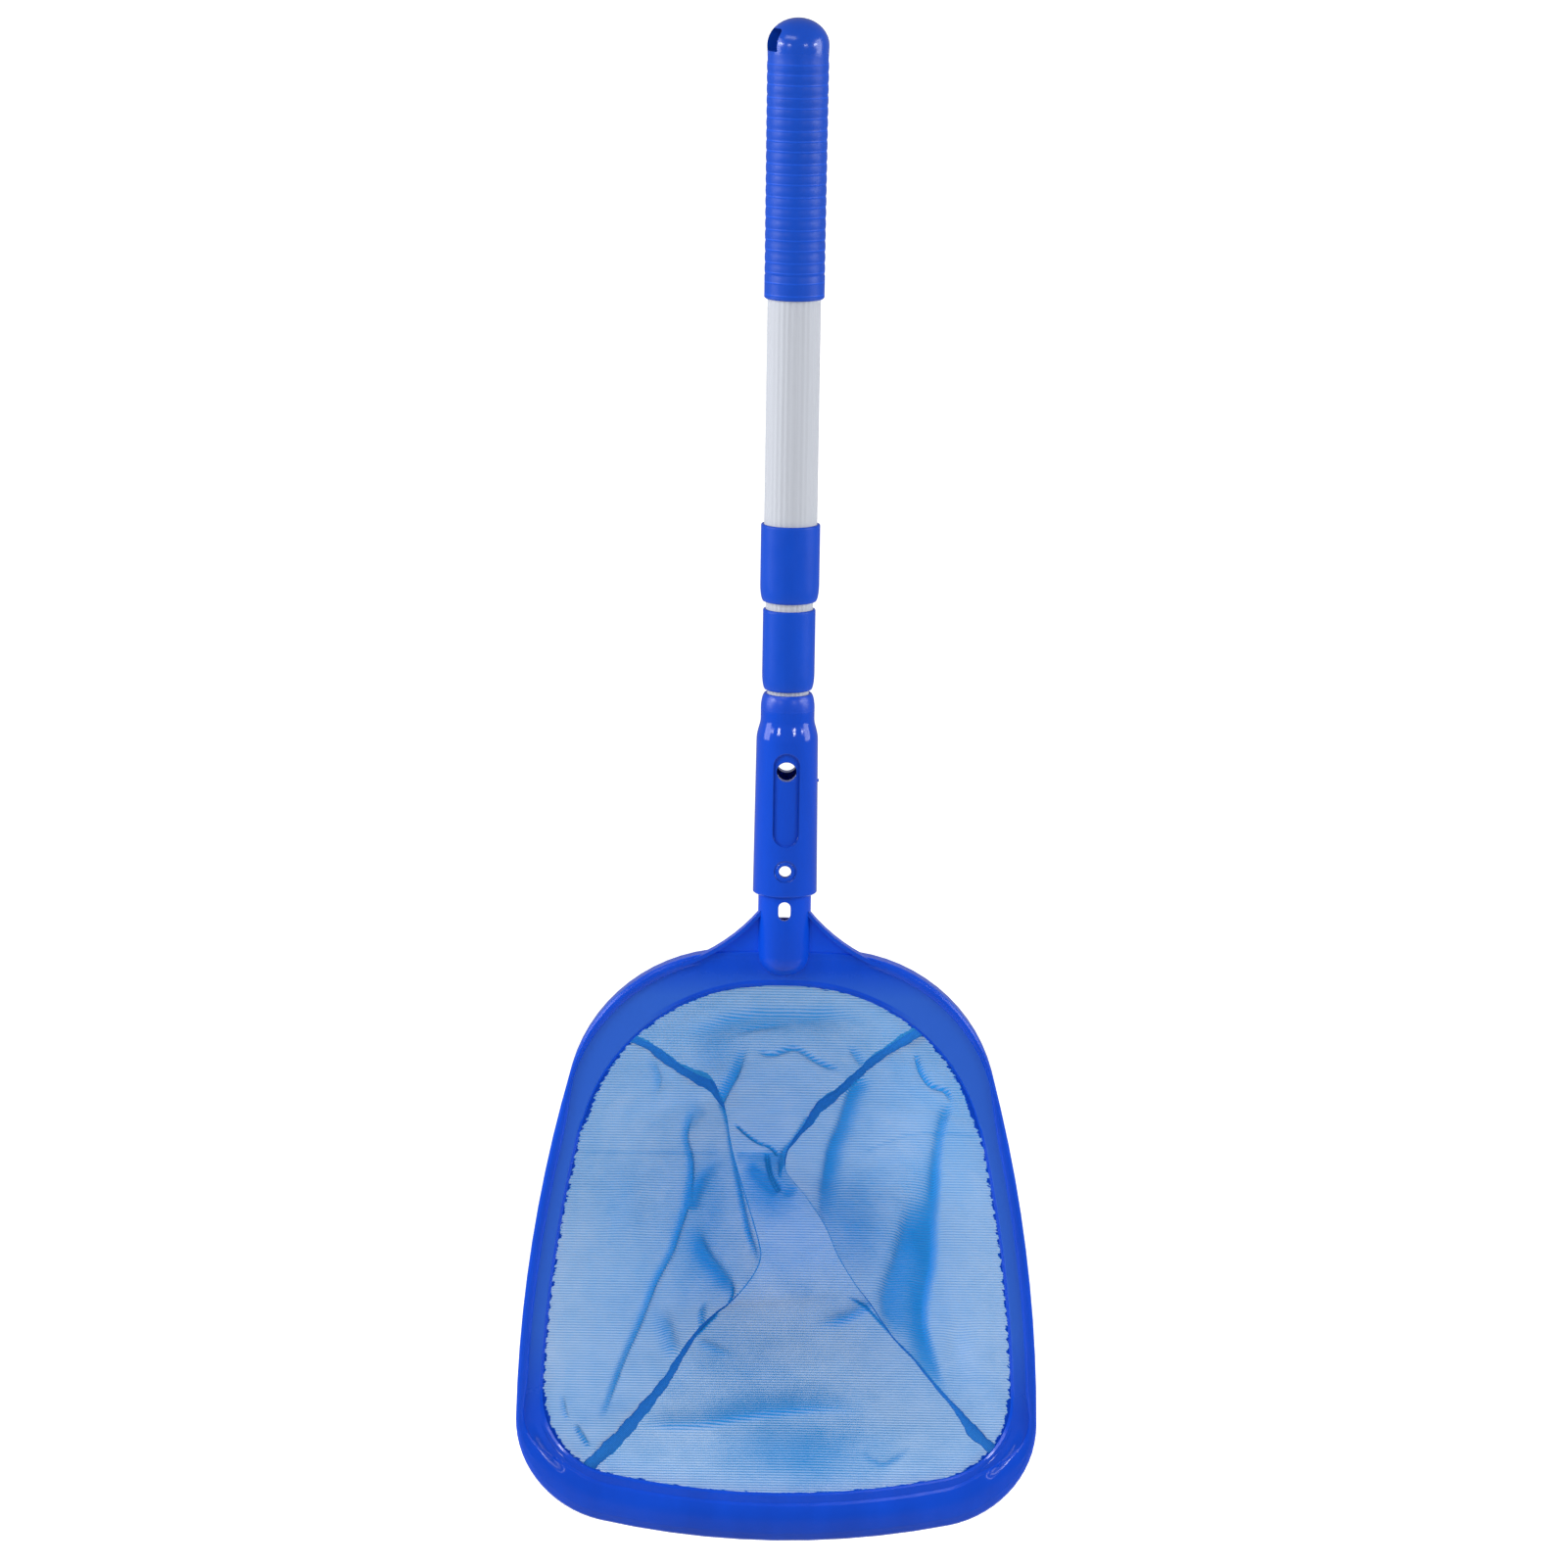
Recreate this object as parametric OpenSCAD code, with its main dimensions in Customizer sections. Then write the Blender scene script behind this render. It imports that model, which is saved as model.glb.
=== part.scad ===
// Leaf skimmer net: a telescopic twist-lock pole with a deep fabric bag on a moulded scoop frame.
// The pole stands along Z with the hanging slot of the grip at the origin and the net below it.
// The mouth of the net faces -Y and the bag lies behind it, towards +Y.

/* [Grip] */
// Diameter of the hand grip under its dome
grip_d = 32.2; // [30:0.2:40]
// Diameter of the hand grip at its open end
grip_end_d = 31.4; // [30:0.2:38]
// Length of the hand grip from the top of its dome to its open end
grip_length = 145; // [100:1:180]
// Height of the grip's dome
dome_h = 14.2; // [8:0.2:18]
// Distance from the top of the dome down to the middle of the hanging slot
slot_drop = 11.2; // [10:0.2:20]
// Width of the hanging slot
slot_w = 12.4; // [6:0.2:16]
// Height of the hanging slot
slot_h = 11.6; // [6:0.2:14]
// Corner radius of the slot's upper edge
slot_corner_r = 2.6; // [0.5:0.1:2.8]
// Angle by which the slot is turned about the pole, away from the width of the net
slot_turn = 24; // [0:1:60]
// Thickness of the floor between the slot and the tube socket
slot_floor = 3.2; // [2:0.1:6]
// Distance between the grip's rings
ring_pitch = 5.8; // [3:0.1:10]
// Height of the grip's rings
ring_h = 0.32; // [0.1:0.02:0.8]
// Distance from the top of the dome to the first ring
ring_start = 22; // [20:0.5:40]
// Length of the plain band at the grip's open end
plain_band = 8; // [3:0.5:20]

/* [Tubes] */
// Outer diameter of the outer tube
outer_tube_d = 28; // [27.6:0.1:28.6]
// Outer diameter of the middle tube
middle_tube_d = 25; // [24.6:0.1:25.2]
// Outer diameter of the inner tube
inner_tube_d = 22; // [21.6:0.1:22.2]
// Wall thickness of the three tubes
tube_wall = 1; // [0.8:0.05:1.1]
// Length of the outer tube
outer_tube_length = 267; // [240:1:300]
// Length of middle tube that shows below the outer collar when the pole is closed
middle_shown = 4; // [2:0.5:20]
// Length of inner tube that shows below the middle collar when the pole is closed
inner_shown = 2; // [1:0.5:20]

/* [Collars] */
// Outer diameter of the collar on the outer tube
outer_collar_d = 31; // [30:0.1:33]
// Length of the collar on the outer tube
outer_collar_length = 41; // [34:0.5:42]
// Outer diameter of the collar on the middle tube
middle_collar_d = 27.6; // [27:0.1:30]
// Length of the collar on the middle tube
middle_collar_length = 43; // [36:0.5:44]
// Length of tube that each collar grips
collar_grip = 24; // [12:0.5:28]
// Length of the tapered nose at each collar's lower end
collar_nose = 9; // [4:0.5:11]
// Wall of the nose where it closes on the sliding tube
nose_wall = 0.7; // [0.5:0.05:1.2]

/* [Twist locks] */
// Depth of a lock plug inside its tube
plug_depth = 22; // [12:0.5:30]
// Thickness of a plug's flange
plug_flange = 2.6; // [1.5:0.1:4]
// Thickness of a lock's end cap
cap_thick = 2.5; // [1.6:0.1:4]
// Height of a cam ring
cam_h = 12; // [8:0.5:16]
// Diameter of a plug's eccentric journal
journal_d = 13; // [9:0.2:13.6]
// Offset of the journal from the pole's axis
journal_offset = 0.6; // [0.4:0.05:0.9]
// Radial play between the journal and its cam ring, taken up when the pole is twisted
cam_play = 0.65; // [0.6:0.05:0.8]
// Width of the slit that lets a cam ring spread
cam_slit = 2.2; // [1:0.1:4]
// Diameter of the screw that holds an end cap
lock_screw_d = 4; // [3:0.1:5]
// Length of the screw below its cap
lock_screw_length = 14; // [8:0.5:18]

/* [Pole connector] */
// Length of the connector
connector_length = 107; // [100:1:116]
// Diameter of the connector's ferrule
ferrule_d = 28.4; // [27:0.1:30]
// Length of the ferrule, to the start of its shoulder
ferrule_length = 14; // [11:0.5:18]
// Length of the soft shoulder below the ferrule
shoulder_length = 11; // [6:0.5:16]
// Diameter of the sleeve just below the shoulder
sleeve_d = 32.5; // [32:0.1:35]
// Diameter of the sleeve at its lower end
sleeve_end_d = 33.9; // [33:0.1:36]
// Length of inner tube that the connector grips
tube_seat = 32; // [20:0.5:32]
// Depth of the socket for the net's neck
socket_depth = 54; // [46:0.5:58]
// Diameter of the cross hole in the upper end of the recess
cross_hole_d = 10.4; // [6:0.1:11]
// Distance from the tube seat down to the middle of the cross hole
cross_hole_drop = 7.7; // [6.2:0.1:10]
// Width of the recess down the front of the sleeve
recess_w = 13.4; // [12:0.1:16]
// Length of the recess
recess_length = 50; // [40:0.5:54]
// Depth of the recess
recess_depth = 1.2; // [0.6:0.1:1.6]
// Distance from the cross hole up to the centre of the recess's rounded upper end
recess_rise = 3.2; // [0:0.1:6]
// Diameter of the clip hole near the sleeve's lower end
clip_hole_d = 6.4; // [4:0.1:8]
// Width of the shallow ring round the clip hole
spot_ring_w = 2.4; // [1:0.1:4]
// Distance from the sleeve's lower end up to the middle of the clip hole
clip_hole_rise = 14; // [10:0.5:20]
// Width of the slit up the back of the socket
socket_slit = 9; // [7:0.5:12]

/* [Net frame] */
// Diameter of the neck
neck_d = 28; // [27.4:0.1:28.4]
// Bore of the hollow neck
neck_bore = 22; // [18:0.2:24]
// Length of neck that shows between the connector and the frame
neck_visible = 31.8; // [28:0.5:45]
// Diameter across the neck's oval hole
oval_w = 6.4; // [4:0.1:8]
// Height of the neck's oval hole
oval_h = 10.2; // [9:0.1:14]
// Distance from the connector's lower end down to the middle of the oval hole
oval_drop = 8; // [7.5:0.1:12]
// Diameter of the flat that is let into the neck round the clip hole
clip_seat_d = 9.6; // [8.5:0.1:12]
// Depth of that flat
clip_seat_depth = 0.5; // [0.4:0.05:1]
// Greatest width of the frame
frame_w = 281; // [240:1:320]
// Length of the frame below its neck
frame_length = 328; // [300:1:360]
// Distance from the top of the frame down to its widest point
widest_drop = 274.8; // [250:1:282]
// Radius of the frame's top edge
top_r = 644; // [400:10:900]
// Radius of the frame's shoulders
shoulder_r = 88; // [70:1:110]
// Radius of the frame's sides
side_r = 788; // [500:10:1200]
// Radius of the frame's lower corners
corner_r = 58.7; // [50:1:70]
// Radius of the frame's bottom edge
bottom_r = 443; // [350:10:600]
// Width of the frame's band at the top
band_top = 18.9; // [15:0.5:24]
// Width of the frame's band at the sides
band_side = 13.9; // [12:0.5:20]
// Width of the frame's band along its lower lip
band_lip = 27.2; // [22:0.5:32]
// Radius of the opening's top edge
opening_top_r = 500; // [300:10:700]
// Radius of the opening's shoulders
opening_shoulder_r = 103; // [85:1:112]
// Radius of the opening's lower corners
opening_corner_r = 45; // [38:1:54]
// Depth of the frame's outer wall, front to back
wall_depth = 13; // [10:0.5:16]
// Thickness of the frame's walls
frame_wall = 2.4; // [1.8:0.1:3]
// Height of the rounded bead above the flat band
bead_h = 2; // [1:0.1:3]
// Width of the bead at the top and sides
bead_w = 5.8; // [5:0.1:7]
// Width of the full lip at the bottom, which takes the place of the bead
lip_w = 22; // [14:0.5:24]
// Depth of the lip's outer edge, front to back
lip_depth = 8; // [6:0.5:12]
// Angle round the frame, from the top, at which the full lip starts to grow out of the bead
lip_from = 88; // [70:1:100]
// Angle round the frame at which the lip has its full width
lip_full = 150; // [130:1:170]
// Angle round the frame at which each gusset runs out
gusset_at = 17.6; // [12:0.2:26]
// Height above the frame at which each gusset leaves the neck
gusset_rise = 22.3; // [16:0.1:28]
// Depth of a gusset's rim, front to back
gusset_depth = 7; // [4:0.5:12]
// Radius of the gusset's hollow edge
gusset_r = 93; // [60:1:240]

/* [Bag] */
// Depth of the bag at its seams, behind the frame
bag_depth = 112; // [70:1:160]
// Slope at which the main panel bellies out from its seams, rise over run
main_slope = 0.34; // [0.1:0.02:0.6]
// Half the width of the main panel at its waist
waist = 16; // [10:1:60]
// How far down the opening each seam aims as it leaves the shoulder
seam_top_lead = 94; // [0:2:110]
// How far up the opening each seam aims as it leaves the lower corner
seam_low_lead = 96; // [0:2:110]
// How far the side panels belly outwards
side_belly = 9; // [2:0.5:16]
// Thickness of the bag's fabric
fabric_t = 0.8; // [0.5:0.1:1.2]
// Width of the binding tape on the seams
tape_w = 4.2; // [3:0.1:6]
// Thickness of the binding tape
tape_t = 1.0; // [1:0.1:2]
// Angle round the opening, from the top, at which each seam meets the frame's shoulder
seam_top_at = 42; // [34:1:50]
// Angle round the opening, from the top, at which each seam meets the frame's lower corner
seam_low_at = 140; // [132:1:148]

/* [Fits] */
// Radial gap round a tube that slides in a collar
slide_gap = 0.25; // [0.2:0.05:0.3]
// Radial gap round a part that is pushed home and stays there
push_gap = 0.05; // [0.02:0.01:0.1]
// Radial gap round the net's neck in the connector
neck_gap = 0.1; // [0.05:0.01:0.1]
// Radial gap round the flange and the cap of a lock
flange_gap = 0.65; // [0.4:0.05:0.9]
// Radial room round the clip button in the neck, more than in the connector
button_gap = 0.3; // [0.2:0.05:0.5]
// Gap left at each end stop and beside each cam ring
stop_gap = 0.3; // [0.2:0.05:0.5]
// Gap between the bag's panels and what they are sewn or moulded to
sewn_gap = 0.3; // [0.1:0.05:0.4]

/* [Hidden] */

plastic_blue = [0.10, 0.28, 0.77];
grip_blue = [0.16, 0.36, 0.80];
lock_grey = [0.86, 0.87, 0.88];
tube_silver = [0.78, 0.80, 0.83];
screw_steel = [0.62, 0.63, 0.65];
mesh_blue = [0.48, 0.65, 0.86];
tape_blue = [0.13, 0.40, 0.72];
round_fn = 96;
eps = 0.01;
cut = 1;

// Heights along the pole, from the hanging slot downwards
grip_top = slot_drop;
grip_bottom = grip_top - grip_length;
outer_tube_top = -slot_h / 2 - slot_floor;
outer_tube_bottom = outer_tube_top - outer_tube_length;
outer_collar_top = outer_tube_bottom + collar_grip;
outer_collar_bottom = outer_collar_top - outer_collar_length;
middle_collar_top = outer_collar_bottom - middle_shown;
middle_collar_bottom = middle_collar_top - middle_collar_length;
lock_stack = cap_thick + cam_h + plug_flange + 2 * stop_gap;
middle_lock_top = outer_tube_top - stop_gap;
middle_tube_top = middle_lock_top - lock_stack;
middle_tube_bottom = middle_collar_top - collar_grip;
inner_lock_top = middle_tube_top - plug_depth - stop_gap;
inner_tube_top = inner_lock_top - lock_stack;
connector_top = middle_collar_bottom - inner_shown;
inner_tube_bottom = connector_top - tube_seat;
connector_bottom = connector_top - connector_length;
socket_top = connector_bottom + socket_depth;
neck_top = socket_top - stop_gap;
clip_hole_z = connector_bottom + clip_hole_rise;
oval_z = connector_bottom - oval_drop;
frame_top = connector_bottom - neck_visible;
frame_bottom = frame_top - frame_length;
widest_z = frame_top - widest_drop;

outer_tube_bore = outer_tube_d - 2 * tube_wall;
middle_tube_bore = middle_tube_d - 2 * tube_wall;
inner_tube_bore = inner_tube_d - 2 * tube_wall;

// ---------------------------------------------------------------------------
// Small shared helpers

function lerp(a, b, t) = a + (b - a) * t;
function ease(t) = (1 - cos(180 * max(0, min(1, t)))) / 2;
function unit(v) = v / norm(v);
function grid_faces(rows, cols, wrap_rows, wrap_cols) = [
    for (i = [0 : rows - (wrap_rows ? 1 : 2)], j = [0 : cols - (wrap_cols ? 1 : 2)])
        let (
            a = i * cols + j,
            b = i * cols + (j + 1) % cols,
            c = ((i + 1) % rows) * cols + (j + 1) % cols,
            d = ((i + 1) % rows) * cols + j
        )
        each [[a, c, b], [a, d, c]]
];

// A tube between two heights
module tube(top, bottom, outer_d, bore_d) {
    translate([0, 0, bottom])
        difference() {
            cylinder(d = outer_d, h = top - bottom, $fn = round_fn);
            translate([0, 0, -cut])
                cylinder(d = bore_d, h = top - bottom + 2 * cut, $fn = round_fn);
        }
}

// A cylinder that runs along Y through the pole, from y_from to y_to
module cross_bore(d, z, y_from, y_to) {
    translate([0, y_from, z])
        rotate([-90, 0, 0])
            cylinder(d = d, h = y_to - y_from, $fn = round_fn);
}

// ---------------------------------------------------------------------------
// Hand grip

dome_steps = 9;
function dome_profile() = [
    for (k = [0 : dome_steps])
        let (a = 90 * k / dome_steps)
        [grip_d / 2 * sin(a), grip_top - dome_h + dome_h * cos(a)]
];

function grip_r(z) = lerp(grip_d, grip_end_d, (grip_top - dome_h - z) / (grip_length - dome_h)) / 2;
ring_count = floor((grip_length - ring_start - plain_band) / ring_pitch);
function ring_profile() = [
    for (k = [0 : ring_count - 1])
        let (z = grip_top - ring_start - k * ring_pitch)
        each [
            [grip_r(z) - ring_h, z],
            [grip_r(z) - ring_h / 4, z - ring_pitch * 0.22],
            [grip_r(z), z - ring_pitch * 0.5],
            [grip_r(z) - ring_h / 4, z - ring_pitch * 0.78]
        ]
];

module slot_prism() {
    // The slot's lower corners are square and its upper corners rounded
    rotate([0, 0, slot_turn])
        rotate([90, 0, 90])
            translate([0, 0, -grip_d])
                linear_extrude(2 * grip_d)
                    union() {
                        translate([-slot_w / 2, -slot_h / 2])
                            square([slot_w, slot_h - slot_corner_r]);
                        translate([-slot_w / 2 + slot_corner_r, -slot_h / 2])
                            square([slot_w - 2 * slot_corner_r, slot_h]);
                        for (side = [-1, 1])
                            translate([side * (slot_w / 2 - slot_corner_r), slot_h / 2 - slot_corner_r])
                                circle(r = slot_corner_r, $fn = 32);
                    }
}

module hand_grip() {
    edge = 0.8;
    last_ring = grip_top - ring_start - ring_count * ring_pitch;
    color(grip_blue)
        difference() {
            rotate_extrude($fn = round_fn)
                polygon(concat(
                    dome_profile(),
                    ring_profile(),
                    [
                        [grip_r(last_ring) - ring_h, last_ring],
                        [grip_r(last_ring), last_ring - edge],
                        [grip_end_d / 2, grip_bottom + edge],
                        [grip_end_d / 2 - edge, grip_bottom],
                        [0, grip_bottom]
                    ]
                ));
            translate([0, 0, grip_bottom - cut])
                cylinder(
                    d = outer_tube_d + 2 * push_gap,
                    h = outer_tube_top - grip_bottom + cut,
                    $fn = round_fn
                );
            slot_prism();
        }
}

// ---------------------------------------------------------------------------
// Tubes and collars

module outer_tube() {
    color(tube_silver)
        tube(outer_tube_top - eps, outer_tube_bottom, outer_tube_d, outer_tube_bore);
}

module middle_tube() {
    color(tube_silver)
        tube(middle_tube_top, middle_tube_bottom, middle_tube_d, middle_tube_bore);
}

module inner_tube() {
    color(tube_silver)
        tube(inner_tube_top, inner_tube_bottom, inner_tube_d, inner_tube_bore);
}

// A collar grips the end of one tube and closes in to guide the next
module collar(top, length, outer_d, held_d, guided_d) {
    bottom = top - length;
    edge = 0.7;
    nose_steps = 6;
    guide_r = guided_d / 2 + slide_gap;
    held_r = held_d / 2 + push_gap;
    nose_r = guide_r + nose_wall;
    rotate_extrude($fn = round_fn)
        polygon(concat(
            [
                [held_r, top],
                [outer_d / 2 - edge, top],
                [outer_d / 2 - 0.3 * edge, top - 0.3 * edge],
                [outer_d / 2, top - edge]
            ],
            [
                for (k = [0 : nose_steps])
                    let (a = 90 * k / nose_steps)
                    [
                        lerp(nose_r, outer_d / 2, pow(cos(a), 0.9)),
                        bottom + collar_nose * (1 - sin(a))
                    ]
            ],
            [
                [guide_r, bottom],
                [guide_r, top - collar_grip - eps],
                [held_r, top - collar_grip - eps]
            ]
        ));
}

module outer_collar() {
    color(plastic_blue)
        collar(outer_collar_top, outer_collar_length, outer_collar_d, outer_tube_d, middle_tube_d);
}

module middle_collar() {
    color(plastic_blue)
        collar(middle_collar_top, middle_collar_length, middle_collar_d, middle_tube_d, inner_tube_d);
}

// ---------------------------------------------------------------------------
// Twist locks: a plug with an off-centre journal, a split cam ring, an end cap and its screw

function lock_flange_r(run_bore) = run_bore / 2 - flange_gap;

module lock_plug(top, run_bore, held_bore) {
    flange_top = top - cap_thick - cam_h - 2 * stop_gap;
    journal_top = top - cap_thick;
    tube_top = flange_top - plug_flange;
    rib_w = 1.6;
    hollow_wall = 1.5;
    hollow_r = journal_d / 2 - hollow_wall;
    hollow_floor = 4;
    difference() {
        union() {
            translate([0, 0, tube_top])
                cylinder(r = lock_flange_r(run_bore), h = plug_flange, $fn = round_fn);
            translate([journal_offset, 0, flange_top])
                cylinder(d = journal_d, h = journal_top - flange_top, $fn = round_fn);
            translate([0, 0, tube_top - plug_depth])
                cylinder(d = held_bore - 2 * push_gap, h = plug_depth, $fn = round_fn);
        }
        translate([journal_offset, 0, journal_top - lock_screw_length])
            cylinder(d = lock_screw_d, h = lock_screw_length + cut, $fn = 32);
        difference() {
            translate([0, 0, tube_top - plug_depth - cut])
                cylinder(r = hollow_r, h = plug_depth - hollow_floor + cut, $fn = round_fn);
            for (turn = [0, 90])
                rotate([0, 0, turn])
                    translate([-held_bore, -rib_w / 2, tube_top - plug_depth - 2 * cut])
                        cube([2 * held_bore, rib_w, plug_depth]);
        }
    }
}

module lock_cam(top, run_bore) {
    cam_top = top - cap_thick - stop_gap;
    cam_r = run_bore / 2 - slide_gap;
    groove = 0.5;
    bands = 4;
    difference() {
        translate([0, 0, cam_top - cam_h])
            cylinder(r = cam_r, h = cam_h, $fn = round_fn);
        translate([journal_offset, 0, cam_top - cam_h - cut])
            cylinder(d = journal_d + 2 * cam_play, h = cam_h + 2 * cut, $fn = round_fn);
        translate([-run_bore, -cam_slit / 2, cam_top - cam_h - cut])
            cube([run_bore, cam_slit, cam_h + 2 * cut]);
        for (k = [1 : bands - 1])
            translate([0, 0, cam_top - cam_h * k / bands - groove / 2])
                difference() {
                    cylinder(r = cam_r + cut, h = groove, $fn = round_fn);
                    translate([0, 0, -cut])
                        cylinder(r = cam_r - groove, h = groove + 2 * cut, $fn = round_fn);
                }
    }
}

screw_head_h = 1.6;
module lock_cap(top, run_bore) {
    difference() {
        translate([0, 0, top - cap_thick + eps])
            cylinder(r = lock_flange_r(run_bore), h = cap_thick - eps, $fn = round_fn);
        translate([journal_offset, 0, top - cap_thick - cut])
            cylinder(d = lock_screw_d + 2 * push_gap, h = cap_thick + 2 * cut, $fn = 32);
        translate([journal_offset, 0, top - screw_head_h])
            cylinder(d = 2 * lock_screw_d + 2 * push_gap, h = screw_head_h + cut, $fn = 32);
    }
}

module lock_screw(top) {
    drive = lock_screw_d * 0.28;
    translate([journal_offset, 0, 0])
        difference() {
            union() {
                translate([0, 0, top - screw_head_h + eps])
                    cylinder(d = 2 * lock_screw_d, h = screw_head_h - 2 * eps, $fn = 32);
                translate([0, 0, top - cap_thick - lock_screw_length + stop_gap])
                    cylinder(
                        d = lock_screw_d - 2 * push_gap,
                        h = lock_screw_length + cap_thick - screw_head_h,
                        $fn = 32
                    );
            }
            for (turn = [0, 90])
                rotate([0, 0, turn])
                    translate([-lock_screw_d * 0.7, -drive / 2, top - screw_head_h / 2])
                        cube([lock_screw_d * 1.4, drive, screw_head_h]);
        }
}

module middle_lock_cam() {
    color(lock_grey) lock_cam(middle_lock_top, outer_tube_bore);
}

module middle_lock_plug() {
    color(lock_grey) lock_plug(middle_lock_top, outer_tube_bore, middle_tube_bore);
}

module middle_lock_cap() {
    color(lock_grey) lock_cap(middle_lock_top, outer_tube_bore);
}

module middle_lock_screw() {
    color(screw_steel) lock_screw(middle_lock_top);
}

module inner_lock_cam() {
    color(lock_grey) lock_cam(inner_lock_top, middle_tube_bore);
}

module inner_lock_plug() {
    color(lock_grey) lock_plug(inner_lock_top, middle_tube_bore, inner_tube_bore);
}

module inner_lock_cap() {
    color(lock_grey) lock_cap(inner_lock_top, middle_tube_bore);
}

module inner_lock_screw() {
    color(screw_steel) lock_screw(inner_lock_top);
}

// ---------------------------------------------------------------------------
// Pole connector: grips the inner tube above and takes the net's neck below

shoulder_top = connector_top - ferrule_length;
cross_hole_z = inner_tube_bottom - cross_hole_drop;
recess_top = cross_hole_z + recess_w / 2 + recess_rise;

module connector_body() {
    steps = 8;
    ferrule_lead = 8;
    lead_in = 1.2;
    edge = 0.5;
    rotate_extrude($fn = round_fn)
        polygon(concat(
            [[inner_tube_d / 2 + push_gap, connector_top]],
            [
                for (k = [0 : steps])
                    let (t = k / steps)
                    [
                        ferrule_d / 2 - lead_in * pow(1 - t, 2) - edge * pow(1 - t, 8),
                        connector_top - ferrule_lead * t
                    ]
            ],
            [
                for (k = [0 : steps])
                    let (t = k / steps)
                    [
                        lerp(ferrule_d, sleeve_d, ease(pow(t, 0.8))) / 2,
                        shoulder_top - shoulder_length * t
                    ]
            ],
            [
                [sleeve_end_d / 2, connector_bottom + edge],
                [sleeve_end_d / 2 - edge, connector_bottom],
                [neck_d / 2 + neck_gap, connector_bottom],
                [neck_d / 2 + neck_gap, socket_top],
                [inner_tube_bore / 2, socket_top],
                [inner_tube_bore / 2, inner_tube_bottom - eps],
                [inner_tube_d / 2 + push_gap, inner_tube_bottom - eps]
            ]
        ));
}

// The recess follows the sleeve, so its floor is a shallower sleeve inside a stadium-shaped cut
module sleeve_recess() {
    half = recess_w / 2;
    difference() {
        translate([0, 0, recess_top - recess_length])
            rotate([90, 0, 0])
                linear_extrude(sleeve_end_d)
                    union() {
                        translate([-half, half])
                            square([recess_w, recess_length - recess_w]);
                        translate([0, half])
                            circle(r = half, $fn = 64);
                        translate([0, recess_length - half])
                            circle(r = half, $fn = 64);
                    }
        translate([0, 0, connector_bottom])
            cylinder(
                d1 = sleeve_end_d - 2 * recess_depth,
                d2 = sleeve_d - 2 * recess_depth,
                h = connector_length - ferrule_length - shoulder_length,
                $fn = round_fn
            );
    }
}

module pole_connector() {
    spot_ring_d = clip_hole_d + 2 * spot_ring_w;
    spot_floor_d = lerp(sleeve_end_d, sleeve_d, 0.1) - 0.6;
    gate_d = 1.6;
    gate_h = 0.8;
    gate_root = 0.6;
    gate_drop = 7;
    slit_length = clip_hole_rise + clip_hole_d / 2;
    color(plastic_blue)
        union() {
            difference() {
                connector_body();
                sleeve_recess();
                cross_bore(cross_hole_d, cross_hole_z, -sleeve_end_d, sleeve_end_d);
                cross_bore(clip_hole_d, clip_hole_z, -sleeve_end_d, 0);
                difference() {
                    cross_bore(spot_ring_d, clip_hole_z, -sleeve_end_d, 0);
                    translate([0, 0, connector_bottom - cut])
                        cylinder(d = spot_floor_d, h = socket_depth, $fn = round_fn);
                }
                translate([-socket_slit / 2, 0, connector_bottom - cut])
                    cube([socket_slit, sleeve_end_d, slit_length + cut]);
            }
            translate([sleeve_d / 2 - gate_root, 0, cross_hole_z - gate_drop])
                rotate([0, 90, 0])
                    cylinder(d = gate_d, h = gate_root + gate_h, $fn = 24);
        }
}

// ---------------------------------------------------------------------------
// Outlines of the net frame: five arcs down each side, smooth where they meet.
// An arc is [centre, radius, first angle, last angle]; angles turn from straight up to straight down.

// The point that is d1 from c1 and d2 from c2, on the right of the line from c1 to c2
function meet(c1, d1, c2, d2) =
    let (
        gap = norm(c2 - c1),
        along = (d1 * d1 - d2 * d2 + gap * gap) / (2 * gap),
        off = sqrt(max(0, d1 * d1 - along * along)),
        dir = (c2 - c1) / gap
    )
    c1 + dir * along + [-dir[1], dir[0]] * off;

function heading(v) = atan2(v[0], v[1]);

function outline(half_w, top, wide_z, bottom, top_r, shoulder_r, side_r, corner_r, bottom_r) =
    let (
        top_c = [0, top - top_r],
        side_c = [half_w - side_r, wide_z],
        bottom_c = [0, bottom + bottom_r],
        shoulder_c = meet(side_c, side_r - shoulder_r, top_c, top_r - shoulder_r),
        corner_c = meet(bottom_c, bottom_r - corner_r, side_c, side_r - corner_r),
        a1 = heading(shoulder_c - top_c),
        a2 = heading(shoulder_c - side_c),
        a3 = heading(corner_c - side_c),
        a4 = heading(corner_c - bottom_c)
    )
    [
        [top_c, top_r, 0, a1],
        [shoulder_c, shoulder_r, a1, a2],
        [side_c, side_r, a2, a3],
        [corner_c, corner_r, a3, a4],
        [bottom_c, bottom_r, a4, 180]
    ];

function arc_index(line, a) = len([for (arc = line) if (a > arc[3]) 1]);
// The outline's point where its outward direction is at angle a, negative on the left
function on_outline(line, a) =
    let (arc = line[min(arc_index(line, abs(a)), len(line) - 1)])
    let (p = arc[0] + arc[1] * [sin(abs(a)), cos(a)])
    [a < 0 ? -p[0] : p[0], p[1]];

outer_line = outline(
    frame_w / 2, frame_top, widest_z, frame_bottom,
    top_r, shoulder_r, side_r, corner_r, bottom_r
);
inner_line = outline(
    frame_w / 2 - band_side, frame_top - band_top, widest_z, frame_bottom + band_lip,
    opening_top_r, opening_shoulder_r, side_r, opening_corner_r, bottom_r - band_lip / 2
);

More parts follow.
